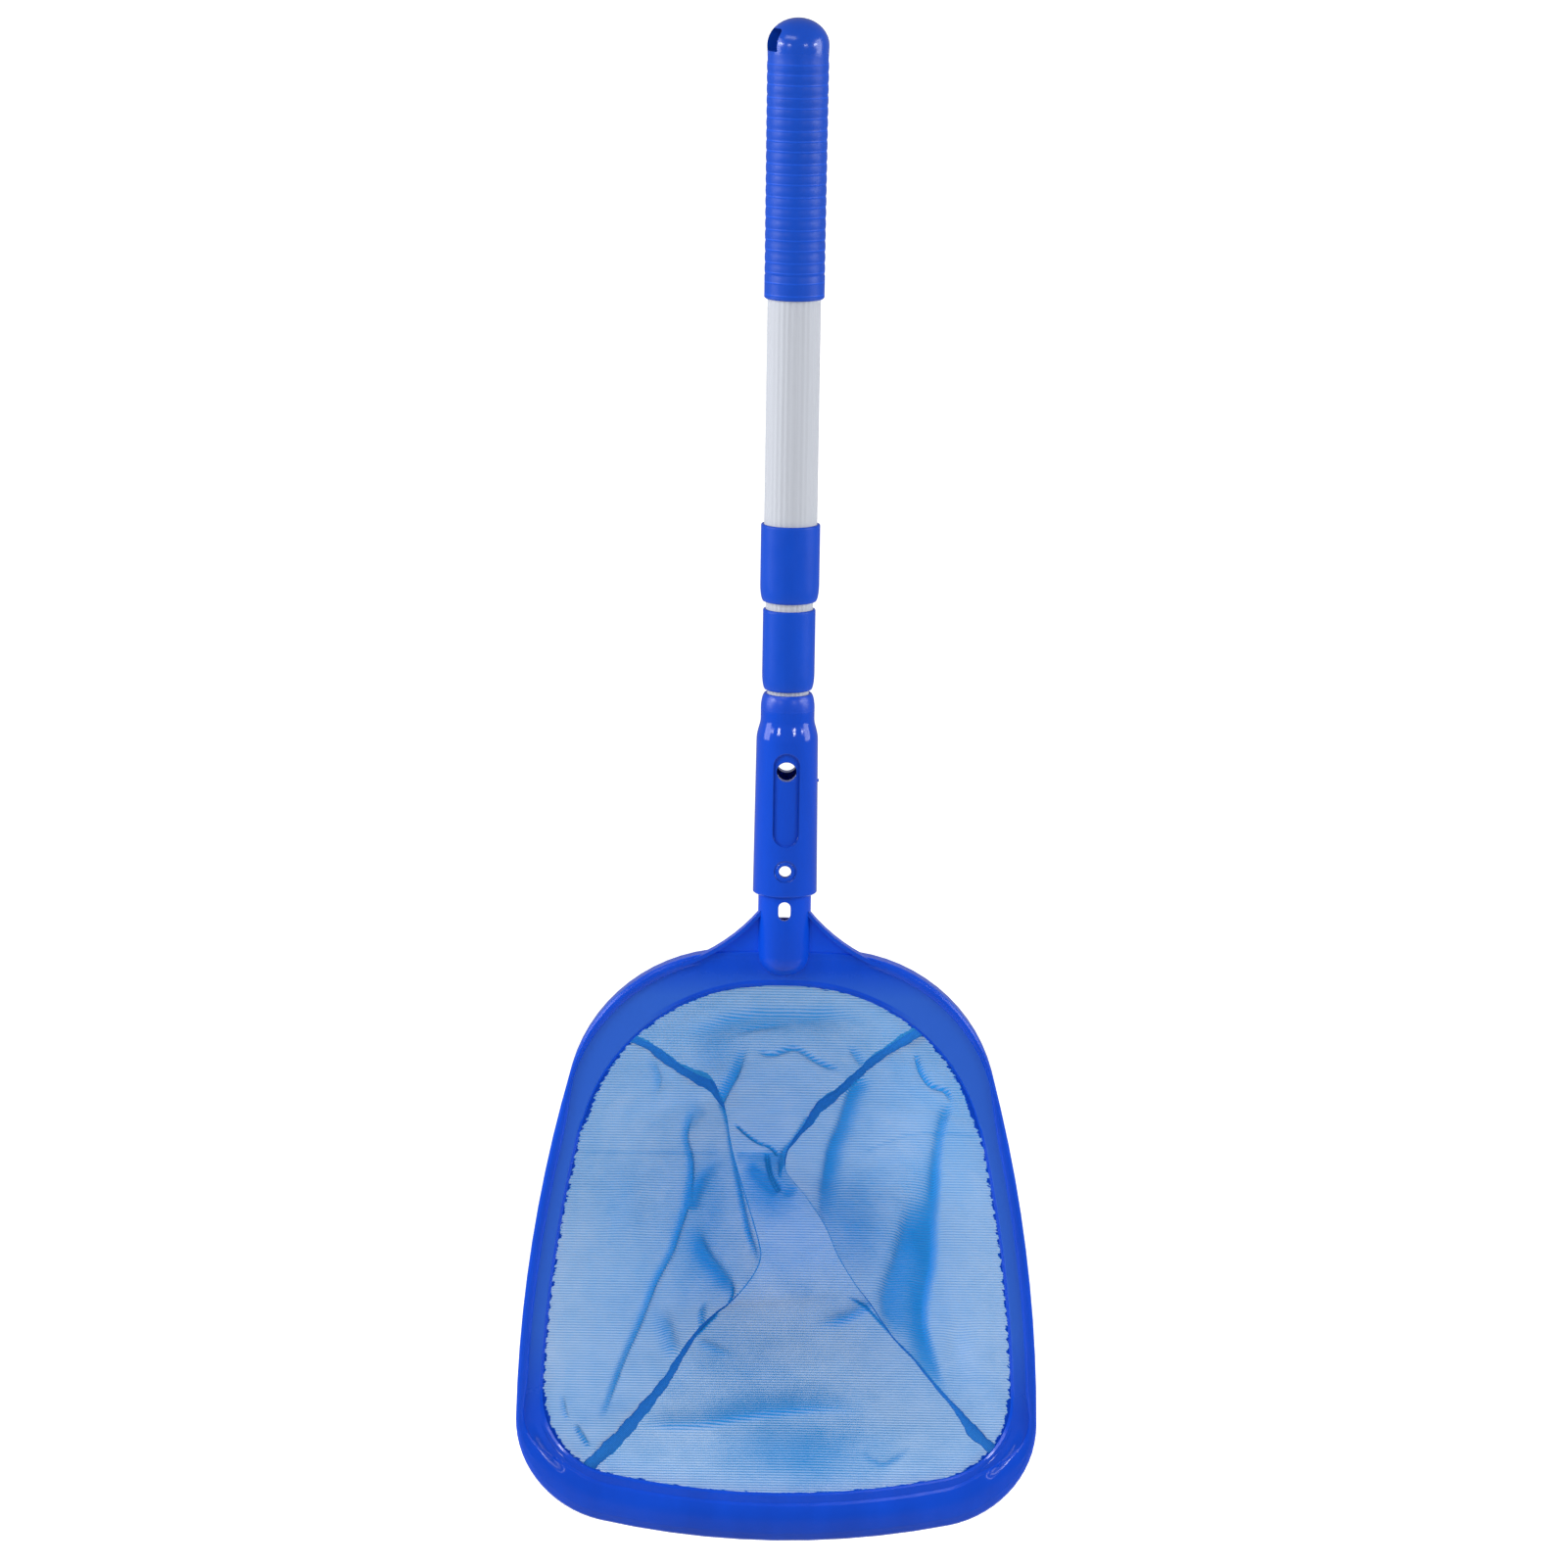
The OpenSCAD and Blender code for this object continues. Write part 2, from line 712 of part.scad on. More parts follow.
// Angles of the frame's stations: each arc of the outer outline gets its own number of steps
arc_steps = [2, 14, 10, 15, 5];
half_stations = [
    for (k = [0 : 4], i = [0 : arc_steps[k] - 1])
        lerp(outer_line[k][2], outer_line[k][3], i / arc_steps[k])
];
stations = concat(
    half_stations,
    [180],
    [for (i = [len(half_stations) - 1 : -1 : 1]) -half_stations[i]]
);

// ---------------------------------------------------------------------------
// Net frame

front_y = -wall_depth / 2;
face_y = front_y + bead_h;
face_back_y = face_y + frame_wall;

// Share of the full lower lip in the section at angle a: none at the sides, all along the bottom.
// The bead runs up into the gussets' rims, so there is none between them.
function bead_share(a) = ease((abs(a) - 0.7 * gusset_at) / (0.4 * gusset_at));
function lip_share(a) = ease((abs(a) - lip_from) / (lip_full - lip_from));

// The section across the band at angle a: points [distance from the outer edge, y], front to back.
// Each pair of values is for the bead at the sides and for the full lip.
bead_steps = 6;
wall_corner = 1.2;
wall_draft = 0.4;
function band_section(a, band) =
    let (
        lip = lip_share(a),
        bead = lerp(bead_w, min(lip_w, band - 2), lip),
        back = lerp(wall_depth / 2, front_y + lip_depth, lip),
        rise = lerp(bead_h, 1.3 * bead_h, lip) * bead_share(a),
        edge_y = face_y + lerp(0.6, 2.4, lip),
        rim = lerp(1.8, 0.8, lip),
        front = function (t) lerp(edge_y, face_y, t) - (rise + (edge_y - face_y) * (1 - t)) * sin(180 * t)
    )
    concat(
        [for (k = [0 : bead_steps]) let (t = k / bead_steps) [bead * (1 - cos(180 * t)) / 2, front(t)]],
        [
            [band - rim - 0.2, face_y],
            [band, face_y + rim],
            [band, face_back_y],
            [frame_wall + wall_corner, face_back_y],
            [frame_wall, face_back_y + wall_corner],
            [0.9 * frame_wall, back],
            [wall_draft, back]
        ]
    );

function band_point(a, p) =
    let (
        o = on_outline(outer_line, a),
        i = on_outline(inner_line, a),
        q = o + unit(i - o) * p[0]
    )
    [q[0], p[1], q[1]];

function band_width(a) = norm(on_outline(inner_line, a) - on_outline(outer_line, a));

module frame_ring() {
    section_count = bead_steps + 8;
    points = [
        for (a = stations)
            each [for (p = band_section(a, band_width(a))) band_point(a, p)]
    ];
    polyhedron(points, grid_faces(len(stations), section_count, true, true), convexity = 10);
}

// Hollow edge of one gusset, from the neck to the frame's shoulder
gusset_sunk = 2;
gusset_end = on_outline(outer_line, gusset_at) - [0, gusset_sunk];
gusset_start = [neck_d / 2 - 1, frame_top + gusset_rise];
gusset_steps = 8;
function gusset_edge(inset) =
    let (c = meet(gusset_start, gusset_r, gusset_end, gusset_r))
    [
        for (k = [0 : gusset_steps])
            let (
                a0 = heading(gusset_start - c),
                a1 = heading(gusset_end - c),
                a = lerp(a0, a1, k / gusset_steps)
            )
            c + (gusset_r + inset) * [sin(a), cos(a)]
    ];

module gusset() {
    rim_wall = 2;
    web_front = face_y + 1;
    root = frame_top - band_top / 2;
    // Web, let in behind the rim
    translate([0, web_front + frame_wall, 0])
        rotate([90, 0, 0])
            linear_extrude(frame_wall)
                polygon(concat(
                    gusset_edge(rim_wall / 2),
                    [[gusset_end[0], root], [neck_d / 2 - 2, root], [neck_d / 2 - 2, gusset_start[1]]]
                ));
    // Rim along the hollow edge
    translate([0, front_y + gusset_depth, 0])
        rotate([90, 0, 0])
            linear_extrude(gusset_depth)
                polygon(concat(
                    gusset_edge(0),
                    [for (k = [gusset_steps : -1 : 0]) gusset_edge(rim_wall)[k]]
                ));
}

// The hollow neck ends in a rounded nose that runs out on the frame's face
module neck_body() {
    nose_h = 12.5;
    nose_steps = 8;
    nose_drop = 1.5;
    floor_rise = 4;
    nose_top = frame_top - nose_drop;
    bore_floor = frame_top + floor_rise;
    rotate_extrude($fn = round_fn)
        polygon(concat(
            [
                for (k = [0 : nose_steps])
                    let (a = 90 * k / nose_steps)
                    [neck_d / 2 * sin(a), nose_top - nose_h * cos(a)]
            ],
            [
                [neck_d / 2, neck_top],
                [neck_bore / 2, neck_top],
                [neck_bore / 2, bore_floor],
                [0, bore_floor]
            ]
        ));
}

module oval_hole() {
    translate([0, 0, oval_z])
        rotate([90, 0, 0])
            linear_extrude(neck_d)
                union() {
                    for (end = [-1, 1])
                        translate([0, end * (oval_h - oval_w) / 2])
                            circle(d = oval_w, $fn = 48);
                    square([oval_w, oval_h - oval_w], center = true);
                }
}

module net_frame() {
    back_slot_bottom = oval_z - 0.9 * oval_h;
    color(plastic_blue)
        union() {
            frame_ring();
            gusset();
            mirror([1, 0, 0])
                gusset();
            difference() {
                neck_body();
                cross_bore(clip_hole_d + 2 * button_gap, clip_hole_z, -neck_d, 0);
                cross_bore(clip_seat_d, clip_hole_z, -neck_d, clip_seat_depth - neck_d / 2);
                oval_hole();
                // Long slot up the back of the neck
                translate([-socket_slit / 2, 0, back_slot_bottom])
                    cube([socket_slit, neck_d, neck_top - back_slot_bottom + cut]);
            }
        }
}

// ---------------------------------------------------------------------------
// Bag: a long main panel and two side panels, sewn together under binding tape

// Where the fabric leaves the back of the frame's band, at angle a
hem_cover = 3;
hem_y = face_back_y + fabric_t / 2 + sewn_gap;
function hem_point(a) =
    let (
        i = on_outline(inner_line, a),
        o = on_outline(outer_line, a),
        p = i + unit(o - i) * hem_cover
    )
    [p[0], hem_y, p[1]];

// Angle round the frame that the tape takes up where it meets the hem
tape_turn = 2.5;

// One seam, right side, t = 0 at the shoulder and 1 at the lower corner
function seam(t) =
    let (
        a = hem_point(seam_top_at),
        d = hem_point(seam_low_at),
        reach = (bag_depth - hem_y / 4) * 4 / 3,
        b = [waist + (waist - a[0]) / 3, reach, a[2] - seam_top_lead],
        c = [waist + (waist - d[0]) / 3, reach, d[2] + seam_low_lead]
    )
    pow(1 - t, 3) * a + 3 * t * pow(1 - t, 2) * b + 3 * t * t * (1 - t) * c + pow(t, 3) * d;

// Direction across the tape, square to the seam
function seam_across(t) =
    let (
        dt = 0.002,
        along = unit(seam(min(1, t + dt)) - seam(max(0, t - dt))),
        outward = [1, -0.35, 0]
    )
    unit(outward - (outward * along) * along);

function seam_edge(t, side) = seam(t) + side * (tape_w / 2 + sewn_gap) * seam_across(t);

// Each end of the main panel follows the frame from seam to seam. The bow is how far the hem lies from the
// straight line between the seams; it has nothing left over at the seams and shrinks with the panel's width.
function end_bow(hem, seam_end, hem_end, v, width) =
    let (left = hem_end - seam_end)
    (hem - [v * seam_end[0], seam_end[1], seam_end[2]] - v * v * [sign(v) * left[0], 0, left[2]])
    * width / seam_end[0];

// A point of the main panel: t from top to bottom, v from -1 at the left seam to 1 at the right
function main_point(t, v) =
    let (
        edge = seam_edge(t, -1),
        belly = main_slope * edge[0] / 2,
        top_at = seam_top_at - tape_turn,
        low_at = seam_low_at + tape_turn,
        low_turn = 180 - (180 - low_at) * abs(v),
        base = [edge[0] * v, edge[1] + belly * sin(180 * t) * (1 - v * v), edge[2]],
        top_bow = end_bow(hem_point(top_at * v), seam_edge(0, -1), hem_point(top_at), v, edge[0]),
        low_hem = hem_point(v < 0 ? -low_turn : low_turn),
        low_bow = end_bow(low_hem, seam_edge(1, -1), hem_point(low_at), v, edge[0])
    )
    base + top_bow * pow(1 - t, 2) + low_bow * t * t;

// A point of the right panel: t from shoulder to lower corner, u from the seam to the frame
function side_point(t, u) =
    let (
        a = seam_edge(t, 1),
        b = hem_point(lerp(seam_top_at + tape_turn, seam_low_at - tape_turn, t)),
        puff = side_belly * sin(180 * u) * sin(180 * t)
    )
    lerp(a, b, u) + [puff * 0.8, puff * 0.6, 0];

// The tape stops just short of the frame at both ends
tape_end = 0.012;
function tape_point(t, u) =
    let (along = min(max(t, tape_end), 1 - tape_end))
    seam(along) + u * tape_w / 2 * seam_across(along);

// A sheet of even thickness over a grid of points
function sheet_normal(g, i, j) =
    let (
        rows = len(g),
        cols = len(g[0]),
        du = g[min(i + 1, rows - 1)][j] - g[max(i - 1, 0)][j],
        dv = g[i][min(j + 1, cols - 1)] - g[i][max(j - 1, 0)]
    )
    unit(cross(du, dv));

module sheet(g, thick) {
    rows = len(g);
    cols = len(g[0]);
    count = rows * cols;
    skins = [
        for (side = [1, -1])
            [for (i = [0 : rows - 1], j = [0 : cols - 1]) g[i][j] + side * thick / 2 * sheet_normal(g, i, j)]
    ];
    top = grid_faces(rows, cols, false, false);
    rim = concat(
        [for (j = [0 : cols - 1]) j],
        [for (i = [1 : rows - 1]) i * cols + cols - 1],
        [for (j = [cols - 2 : -1 : 0]) (rows - 1) * cols + j],
        [for (i = [rows - 2 : -1 : 1]) i * cols]
    );
    n = len(rim);
    polyhedron(
        concat(skins[0], skins[1]),
        concat(
            top,
            [for (f = top) [f[2] + count, f[1] + count, f[0] + count]],
            [
                for (k = [0 : n - 1])
                    let (a = rim[k], b = rim[(k + 1) % n])
                    each [[a, b, b + count], [a, b + count, a + count]]
            ]
        ),
        convexity = 10
    );
}

sheet_rows = 26;
main_cols = 10;
side_cols = 6;
function grid(rows, cols, f) = [for (i = [0 : rows]) [for (j = [0 : cols]) f(i / rows, j / cols)]];

module main_panel() {
    color(mesh_blue)
        sheet(grid(sheet_rows, main_cols, function (t, u) main_point(t, 2 * u - 1)), fabric_t);
}

module side_panel() {
    sheet(grid(sheet_rows, side_cols, function (t, u) side_point(t, u)), fabric_t);
}

module right_panel() {
    color(mesh_blue) side_panel();
}

module left_panel() {
    color(mesh_blue) mirror([1, 0, 0]) side_panel();
}

module seam_tape() {
    sheet(grid(sheet_rows, 2, function (t, u) tape_point(t, 2 * u - 1)), tape_t);
}

module right_seam_tape() {
    color(tape_blue) seam_tape();
}

module left_seam_tape() {
    color(tape_blue) mirror([1, 0, 0]) seam_tape();
}

// ---------------------------------------------------------------------------

hand_grip();
outer_tube();
outer_collar();
middle_lock_cam();
middle_lock_plug();
middle_lock_cap();
middle_lock_screw();
middle_tube();
middle_collar();
inner_lock_cam();
inner_lock_plug();
inner_lock_cap();
inner_lock_screw();
inner_tube();
pole_connector();
net_frame();
main_panel();
left_panel();
right_panel();
left_seam_tape();
right_seam_tape();
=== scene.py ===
"""Leaf skimmer net: finishes for the twist-lock pole and the frame, and the sewn mesh bag."""

import math

import bpy
import numpy as np
from mathutils import Matrix, Vector


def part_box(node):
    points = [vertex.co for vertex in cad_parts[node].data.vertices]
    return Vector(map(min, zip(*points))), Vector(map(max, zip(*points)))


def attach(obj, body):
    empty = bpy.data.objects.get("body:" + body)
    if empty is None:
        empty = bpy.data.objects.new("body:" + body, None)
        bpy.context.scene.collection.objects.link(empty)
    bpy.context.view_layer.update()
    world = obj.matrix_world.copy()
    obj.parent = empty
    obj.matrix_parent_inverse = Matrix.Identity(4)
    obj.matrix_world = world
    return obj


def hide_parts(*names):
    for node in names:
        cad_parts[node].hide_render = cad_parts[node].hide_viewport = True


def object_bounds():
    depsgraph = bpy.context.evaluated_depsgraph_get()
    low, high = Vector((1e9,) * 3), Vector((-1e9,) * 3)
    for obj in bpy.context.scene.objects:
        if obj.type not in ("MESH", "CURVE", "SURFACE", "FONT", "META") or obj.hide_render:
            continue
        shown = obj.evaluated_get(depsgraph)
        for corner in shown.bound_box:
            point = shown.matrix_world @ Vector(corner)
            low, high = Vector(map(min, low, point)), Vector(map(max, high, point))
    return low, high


bl_info = {
    "name": "Leaf Skimmer Net",
    "version": (1, 0, 0),
    "blender": (4, 5, 0),
    "location": "3D View > Sidebar > Leaf Net",
    "description": "Dresses the leaf skimmer net and sews its bag",
    "category": "Object",
}

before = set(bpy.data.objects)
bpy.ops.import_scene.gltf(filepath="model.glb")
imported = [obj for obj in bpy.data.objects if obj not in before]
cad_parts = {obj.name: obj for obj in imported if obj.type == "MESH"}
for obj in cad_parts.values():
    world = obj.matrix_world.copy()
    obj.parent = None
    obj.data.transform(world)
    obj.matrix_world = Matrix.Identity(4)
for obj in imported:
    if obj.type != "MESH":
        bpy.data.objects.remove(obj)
CAD_BOX = [list(corner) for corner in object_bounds()]
MM = 0.001


def mm(*values):
    """Millimetres as metres."""
    return tuple(value * MM for value in values)


def srgb(red, green, blue, alpha=1.0):
    """A colour given as 0 to 255 display values, as the linear values that a shader takes."""

    def linear(value):
        value /= 255.0
        return value / 12.92 if value <= 0.04045 else ((value + 0.055) / 1.055) ** 2.4

    return (linear(red), linear(green), linear(blue), alpha)


# ---- Settings


def colour_property(name, description, default):
    return bpy.props.FloatVectorProperty(
        name=name, description=description, default=default, size=4, min=0.0, max=1.0, subtype="COLOR"
    )


def number_property(name, description, default, low, high, **kind):
    return bpy.props.FloatProperty(
        name=name, description=description, default=default, min=low, max=high, precision=5, **kind
    )


def length_property(name, description, default, low, high):
    return number_property(name, description, default, low, high, subtype="DISTANCE", unit="LENGTH")


class LEAFNET_PG_colours(bpy.types.PropertyGroup):
    """Colours of the net's plastics, metal and cloth."""

    grip: colour_property("Grip", "Soft plastic of the hand grip", srgb(14, 72, 186))
    collar: colour_property("Collars", "Plastic of the twist-lock collars", srgb(10, 72, 192))
    connector: colour_property("Connector", "Plastic of the pole connector", srgb(8, 70, 196))
    hoop: colour_property("Frame", "Plastic of the net frame", srgb(8, 72, 204))
    # Painted sheen: the flat face is paler than the rest of the frame
    ring_face_sheen: colour_property("Ring face", "Flat face of the net frame", srgb(39, 94, 202))
    lock: colour_property("Locks", "Plastic of the cams, plugs and caps", srgb(196, 199, 202))
    tube: colour_property("Tube", "Anodised aluminium of the pole", srgb(191, 195, 204))
    screw: colour_property("Screw", "Zinc-plated steel of the lock screws", srgb(170, 172, 176))
    mesh: colour_property("Mesh", "Threads of the bag's mesh", srgb(60, 165, 245))
    # Also paints the folds' shade; made darker, it is the painted shade of the creases
    bunched: colour_property("Bunched mesh", "Mesh where its folds bunch it up", srgb(44, 166, 255))
    tape: colour_property("Tape", "Binding tape over the seams", srgb(34, 122, 212))
    floor: colour_property("Floor", "Floor and backdrop", srgb(238, 238, 238))


class LEAFNET_PG_sizes(bpy.types.PropertyGroup):
    """Sizes of the details that a maker might change."""

    flutes: bpy.props.IntProperty(name="Flutes", description="Flutes round each tube", default=30, min=0, max=60)
    flute_depth: length_property("Flute depth", "How far a flute is sunk into the tube", 0.00022, 0.0, 0.0005)
    weave_pitch: length_property("Weave pitch", "From one row of the mesh to the next", 0.00145, 0.0005, 0.004)
    cover: number_property("Mesh cover", "Share of the mesh that is thread", 0.87, 0.3, 1.0, subtype="FACTOR")
    tape_width: length_property("Tape width", "Width of the seam binding", 0.0052, 0.002, 0.007)
    fold_share: number_property("Folds", "How strongly the folds stand out", 1.0, 0.0, 1.5, subtype="FACTOR")


class LEAFNET_PG_light(bpy.types.PropertyGroup):
    """Light and floor of the stage."""

    ambient: number_property("Ambient", "Brightness of the room's light", 0.34, 0.0, 1.5)
    lamp: number_property("Lamps", "Brightness of the lamps' faces", 18.0, 0.0, 60.0)
    floor_drop: length_property("Floor drop", "From the net's lowest point down to the floor", 0.5, 0.0, 5.0)


def paint(name):
    return tuple(getattr(bpy.context.scene.leafnet_colours, name))


def sizes():
    return bpy.context.scene.leafnet_sizes


def light():
    return bpy.context.scene.leafnet_light


# ---- Frame outline, in millimetres, as in the part's source: x to the right and z up

FRAME_TOP = -480.8
FRAME_LENGTH = 328.0
FRAME_W = 281.0
WIDEST_Z = FRAME_TOP - 274.8
# Widths of the ring's band at the side, at the top and at the lip
SIDE_BAND, TOP_BAND, LIP_BAND = 13.9, 18.9, 27.2
# Radii of an outline's side and of the outer outline's lip
SIDE_RADIUS, LIP_RADIUS = 788.0, 443.0
# How far behind the ring the bag's hem is hidden, and the hem's plane
HEM_COVER = 3.0
HEM_Y = -1.4


def meet(c1, r1, c2, r2):
    """The right-hand point at distance r1 from c1 and r2 from c2."""
    gap = math.hypot(c2[0] - c1[0], c2[1] - c1[1])
    along = (gap * gap + r1 * r1 - r2 * r2) / (2 * gap)
    off = math.sqrt(max(0.0, r1 * r1 - along * along))
    ux, uy = (c2[0] - c1[0]) / gap, (c2[1] - c1[1]) / gap
    return max((c1[0] + along * ux - s * off * uy, c1[1] + along * uy + s * off * ux) for s in (1, -1))


def heading(start, end):
    """Direction from one point to another, in degrees from straight up."""
    return math.degrees(math.atan2(end[0] - start[0], end[1] - start[1]))


def outline(half_w, top, bottom, top_r, shoulder_r, corner_r, bottom_r):
    """Five arcs from the top to the bottom of the right half: centre, radius and heading of the end."""
    top_c = (0.0, top - top_r)
    side_c = (half_w - SIDE_RADIUS, WIDEST_Z)
    bottom_c = (0.0, bottom + bottom_r)
    shoulder_c = meet(side_c, SIDE_RADIUS - shoulder_r, top_c, top_r - shoulder_r)
    corner_c = meet(bottom_c, bottom_r - corner_r, side_c, SIDE_RADIUS - corner_r)
    return [
        (top_c, top_r, heading(top_c, shoulder_c)),
        (shoulder_c, shoulder_r, heading(side_c, shoulder_c)),
        (side_c, SIDE_RADIUS, heading(side_c, corner_c)),
        (corner_c, corner_r, heading(bottom_c, corner_c)),
        (bottom_c, bottom_r, 180.0),
    ]


OUTER_LINE = outline(
    half_w=FRAME_W / 2,
    top=FRAME_TOP,
    bottom=FRAME_TOP - FRAME_LENGTH,
    top_r=644,
    shoulder_r=88,
    corner_r=58.7,
    bottom_r=LIP_RADIUS,
)
INNER_LINE = outline(
    half_w=FRAME_W / 2 - SIDE_BAND,
    top=FRAME_TOP - TOP_BAND,
    bottom=FRAME_TOP - FRAME_LENGTH + LIP_BAND,
    top_r=500,
    shoulder_r=103,
    corner_r=45,
    bottom_r=LIP_RADIUS - LIP_BAND / 2,
)
# Arcs of an outline, in their order
SHOULDER, CORNER = 1, 3


def on_outline(line, angle):
    """The outline's point where its outward direction is at the angle, negative on the left."""
    size = abs(angle)
    centre, radius, _ = next((arc for arc in line if size <= arc[2]), line[-1])
    x = centre[0] + radius * math.sin(math.radians(size))
    z = centre[1] + radius * math.cos(math.radians(size))
    return np.array([math.copysign(x, angle) if angle else x, z])


def hem_point(angle):
    """Where the bag is sewn to the frame, at an angle round it."""
    inner, outer = on_outline(INNER_LINE, angle), on_outline(OUTER_LINE, angle)
    x, z = inner + (outer - inner) / np.linalg.norm(outer - inner) * HEM_COVER
    return np.array([x, HEM_Y, z])


# ---- Materials

# The part of its range in which most of a noise lies
NOISE_CORE = (0.3, 0.7)


def add_node(tree, kind, inputs=None, output=0, **settings):
    """Adds a node, feeds its inputs by name or number, and returns one of its outputs."""
    node = tree.nodes.new(kind)
    for key, value in settings.items():
        setattr(node, key, value)
    for key, value in (inputs or {}).items():
        if isinstance(value, bpy.types.NodeSocket):
            tree.links.new(value, node.inputs[key])
        else:
            node.inputs[key].default_value = value
    return node.outputs[output] if node.outputs else None


class Shader:
    """A material's node tree, with short calls for the nodes that the finishes use."""

    def __init__(self, name, colour, roughness, metallic=0.0, specular=0.5):
        self.material = bpy.data.materials.new(name)
        self.material.use_nodes = True
        self.material.diffuse_color = colour
        self.tree = self.material.node_tree
        self.inputs = self.tree.nodes["Principled BSDF"].inputs
        self.inputs["Base Color"].default_value = colour
        self.inputs["Roughness"].default_value = roughness
        self.inputs["Metallic"].default_value = metallic
        self.inputs["Specular IOR Level"].default_value = specular

    def node(self, kind, inputs=None, output=0, **settings):
        return add_node(self.tree, kind, inputs, output, **settings)

    def use(self, name, output):
        self.tree.links.new(output, self.inputs[name])

    def so_far(self, name):
        """What the finish's socket is linked to until now."""
        return self.inputs[name].links[0].from_socket

    def place(self, scale=(1.0, 1.0, 1.0)):
        """The point on the object, stretched, so that a pattern can run finer one way than another."""
        point = self.node("ShaderNodeTexCoord", output="Object")
        return self.node("ShaderNodeMapping", {"Vector": point, "Scale": scale})

    def axes(self, vector=None):
        """The three parts of a vector, or else of the point on the object."""
        return tuple(self.node("ShaderNodeSeparateXYZ", {0: vector or self.place()}).node.outputs)

    def on_cloth(self):
        """The place on the cloth: across it and down it, in metres."""
        return self.axes(self.node("ShaderNodeUVMap", uv_map=CLOTH_MAP))[:2]

    def noise(self, vector, scale, detail=3.0, roughness=0.5):
        inputs = {"Vector": vector, "Scale": scale, "Detail": detail, "Roughness": roughness}
        return self.node("ShaderNodeTexNoise", inputs, "Fac")

    def attribute(self, name):
        return self.node("ShaderNodeAttribute", output="Fac", attribute_name=name)

    def math(self, operation, *values):
        return self.node("ShaderNodeMath", dict(enumerate(values)), operation=operation)

    def chain(self, operation, first, *others):
        """One operation over any number of values."""
        for value in others:
            first = self.math(operation, first, value)
        return first

    def total(self, *values):
        return self.chain("ADD", *values)

    def product(self, *values):
        return self.chain("MULTIPLY", *values)

    def less(self, value, taken):
        return self.math("SUBTRACT", value, taken)

    def gap(self, value, place):
        """How far a value lies from a place, on either side of it."""
        return self.math("ABSOLUTE", self.less(value, place))

    def reach(self, first, second):
        """Length of the two sides' diagonal."""
        return self.math("POWER", self.total(self.product(first, first), self.product(second, second)), 0.5)

    def wave(self, value, pitch):
        return self.math("SINE", self.product(value, 2.0 * math.pi / pitch))

    def spread(self, value, onto, within=(0.0, 1.0), kind="LINEAR"):
        """The value, moved from the range within which it lies onto another, and held inside that."""
        inputs = dict(zip(("Value", "From Min", "From Max", "To Min", "To Max"), (value, *within, *onto)))
        return self.node("ShaderNodeMapRange", inputs, interpolation_type=kind)

    def tint(self, factor, first, second):
        """A colour between two, by a factor from 0 to 1."""
        return self.node("ShaderNodeMix", {0: factor, 6: first, 7: second}, 2, data_type="RGBA")

    def turned(self, factor, first, second):
        """A direction between two, by a factor from 0 to 1."""
        between = self.node("ShaderNodeMix", {0: factor, 4: first, 5: second}, 1, data_type="VECTOR")
        return self.node("ShaderNodeVectorMath", {0: between}, operation="NORMALIZE")

    def bump(self, height, strength, distance, normal=None):
        inputs = {"Height": height, "Strength": strength, "Distance": distance}
        return self.node("ShaderNodeBump", inputs | ({"Normal": normal} if normal else {}))

    def low_tint(self, colour, low_colour, share):
        """A colour that deepens towards the bottom of the bag."""
        _, _, z = self.axes()
        return self.tint(self.spread(z, (share, 0.0), mm(*LOW_FADE)), colour, low_colour)


def shade(colour, factor):
    """A colour made darker or lighter, alpha kept."""
    return tuple(min(1.0, c * factor) for c in colour[:3]) + (colour[3],)


# Mouldings: shades of the flow marks, heights of the ripples and of the grain, and the radius that light
# shows at the edges
FLOW_SHADES = (0.93, 1.07)
RIPPLE_HEIGHT, GRAIN_HEIGHT = mm(0.12, 0.06)
EDGE_RADIUS = 0.4 * MM


def moulded_plastic(name, colour, roughness, grain=0.25, specular=0.25, ripples=0.35, edge=EDGE_RADIUS):
    """Injection-moulded plastic: faint flow marks in the colour, fine surface grain, soft gloss changes."""
    shader = Shader(name, colour, roughness, specular=specular)
    flow = shader.noise(shader.place((1.0, 1.0, 0.35)), 55.0, 4.0)
    mottle = shader.spread(flow, (0.0, 1.0), NOISE_CORE)
    shader.use("Base Color", shader.tint(mottle, *(shade(colour, factor) for factor in FLOW_SHADES)))
    wear = shader.noise(shader.place(), 160.0, 5.0, 0.65)
    worn = (roughness - min(0.05, roughness / 4), roughness + min(0.07, roughness / 3))
    shader.use("Roughness", shader.spread(wear, worn, NOISE_CORE))
    rounded = shader.node("ShaderNodeBevel", {"Radius": edge}, samples=6)
    ripple = shader.noise(shader.place(), 90.0, 2.0)
    rippled = shader.bump(ripple, ripples, RIPPLE_HEIGHT, rounded)
    shader.use("Normal", shader.bump(shader.noise(shader.place(), 1900.0), grain, GRAIN_HEIGHT, rippled))
    return shader


# Edges of the grip's rings, in millimetres: the first below the origin, from one to the next within a group
# of three, from group to group, from a group's start to its first edge, and the last's distance
RING_START, RING_GAP, RING_GROUP, RING_LEAD, RING_END = 8.6, 5.25, 17.0, 3.7, 124.0
RINGS = 3
# Distances below the first ring's edge between which the dome gives way to the shaft
DOME_FADE = (-3.0, 0.0)


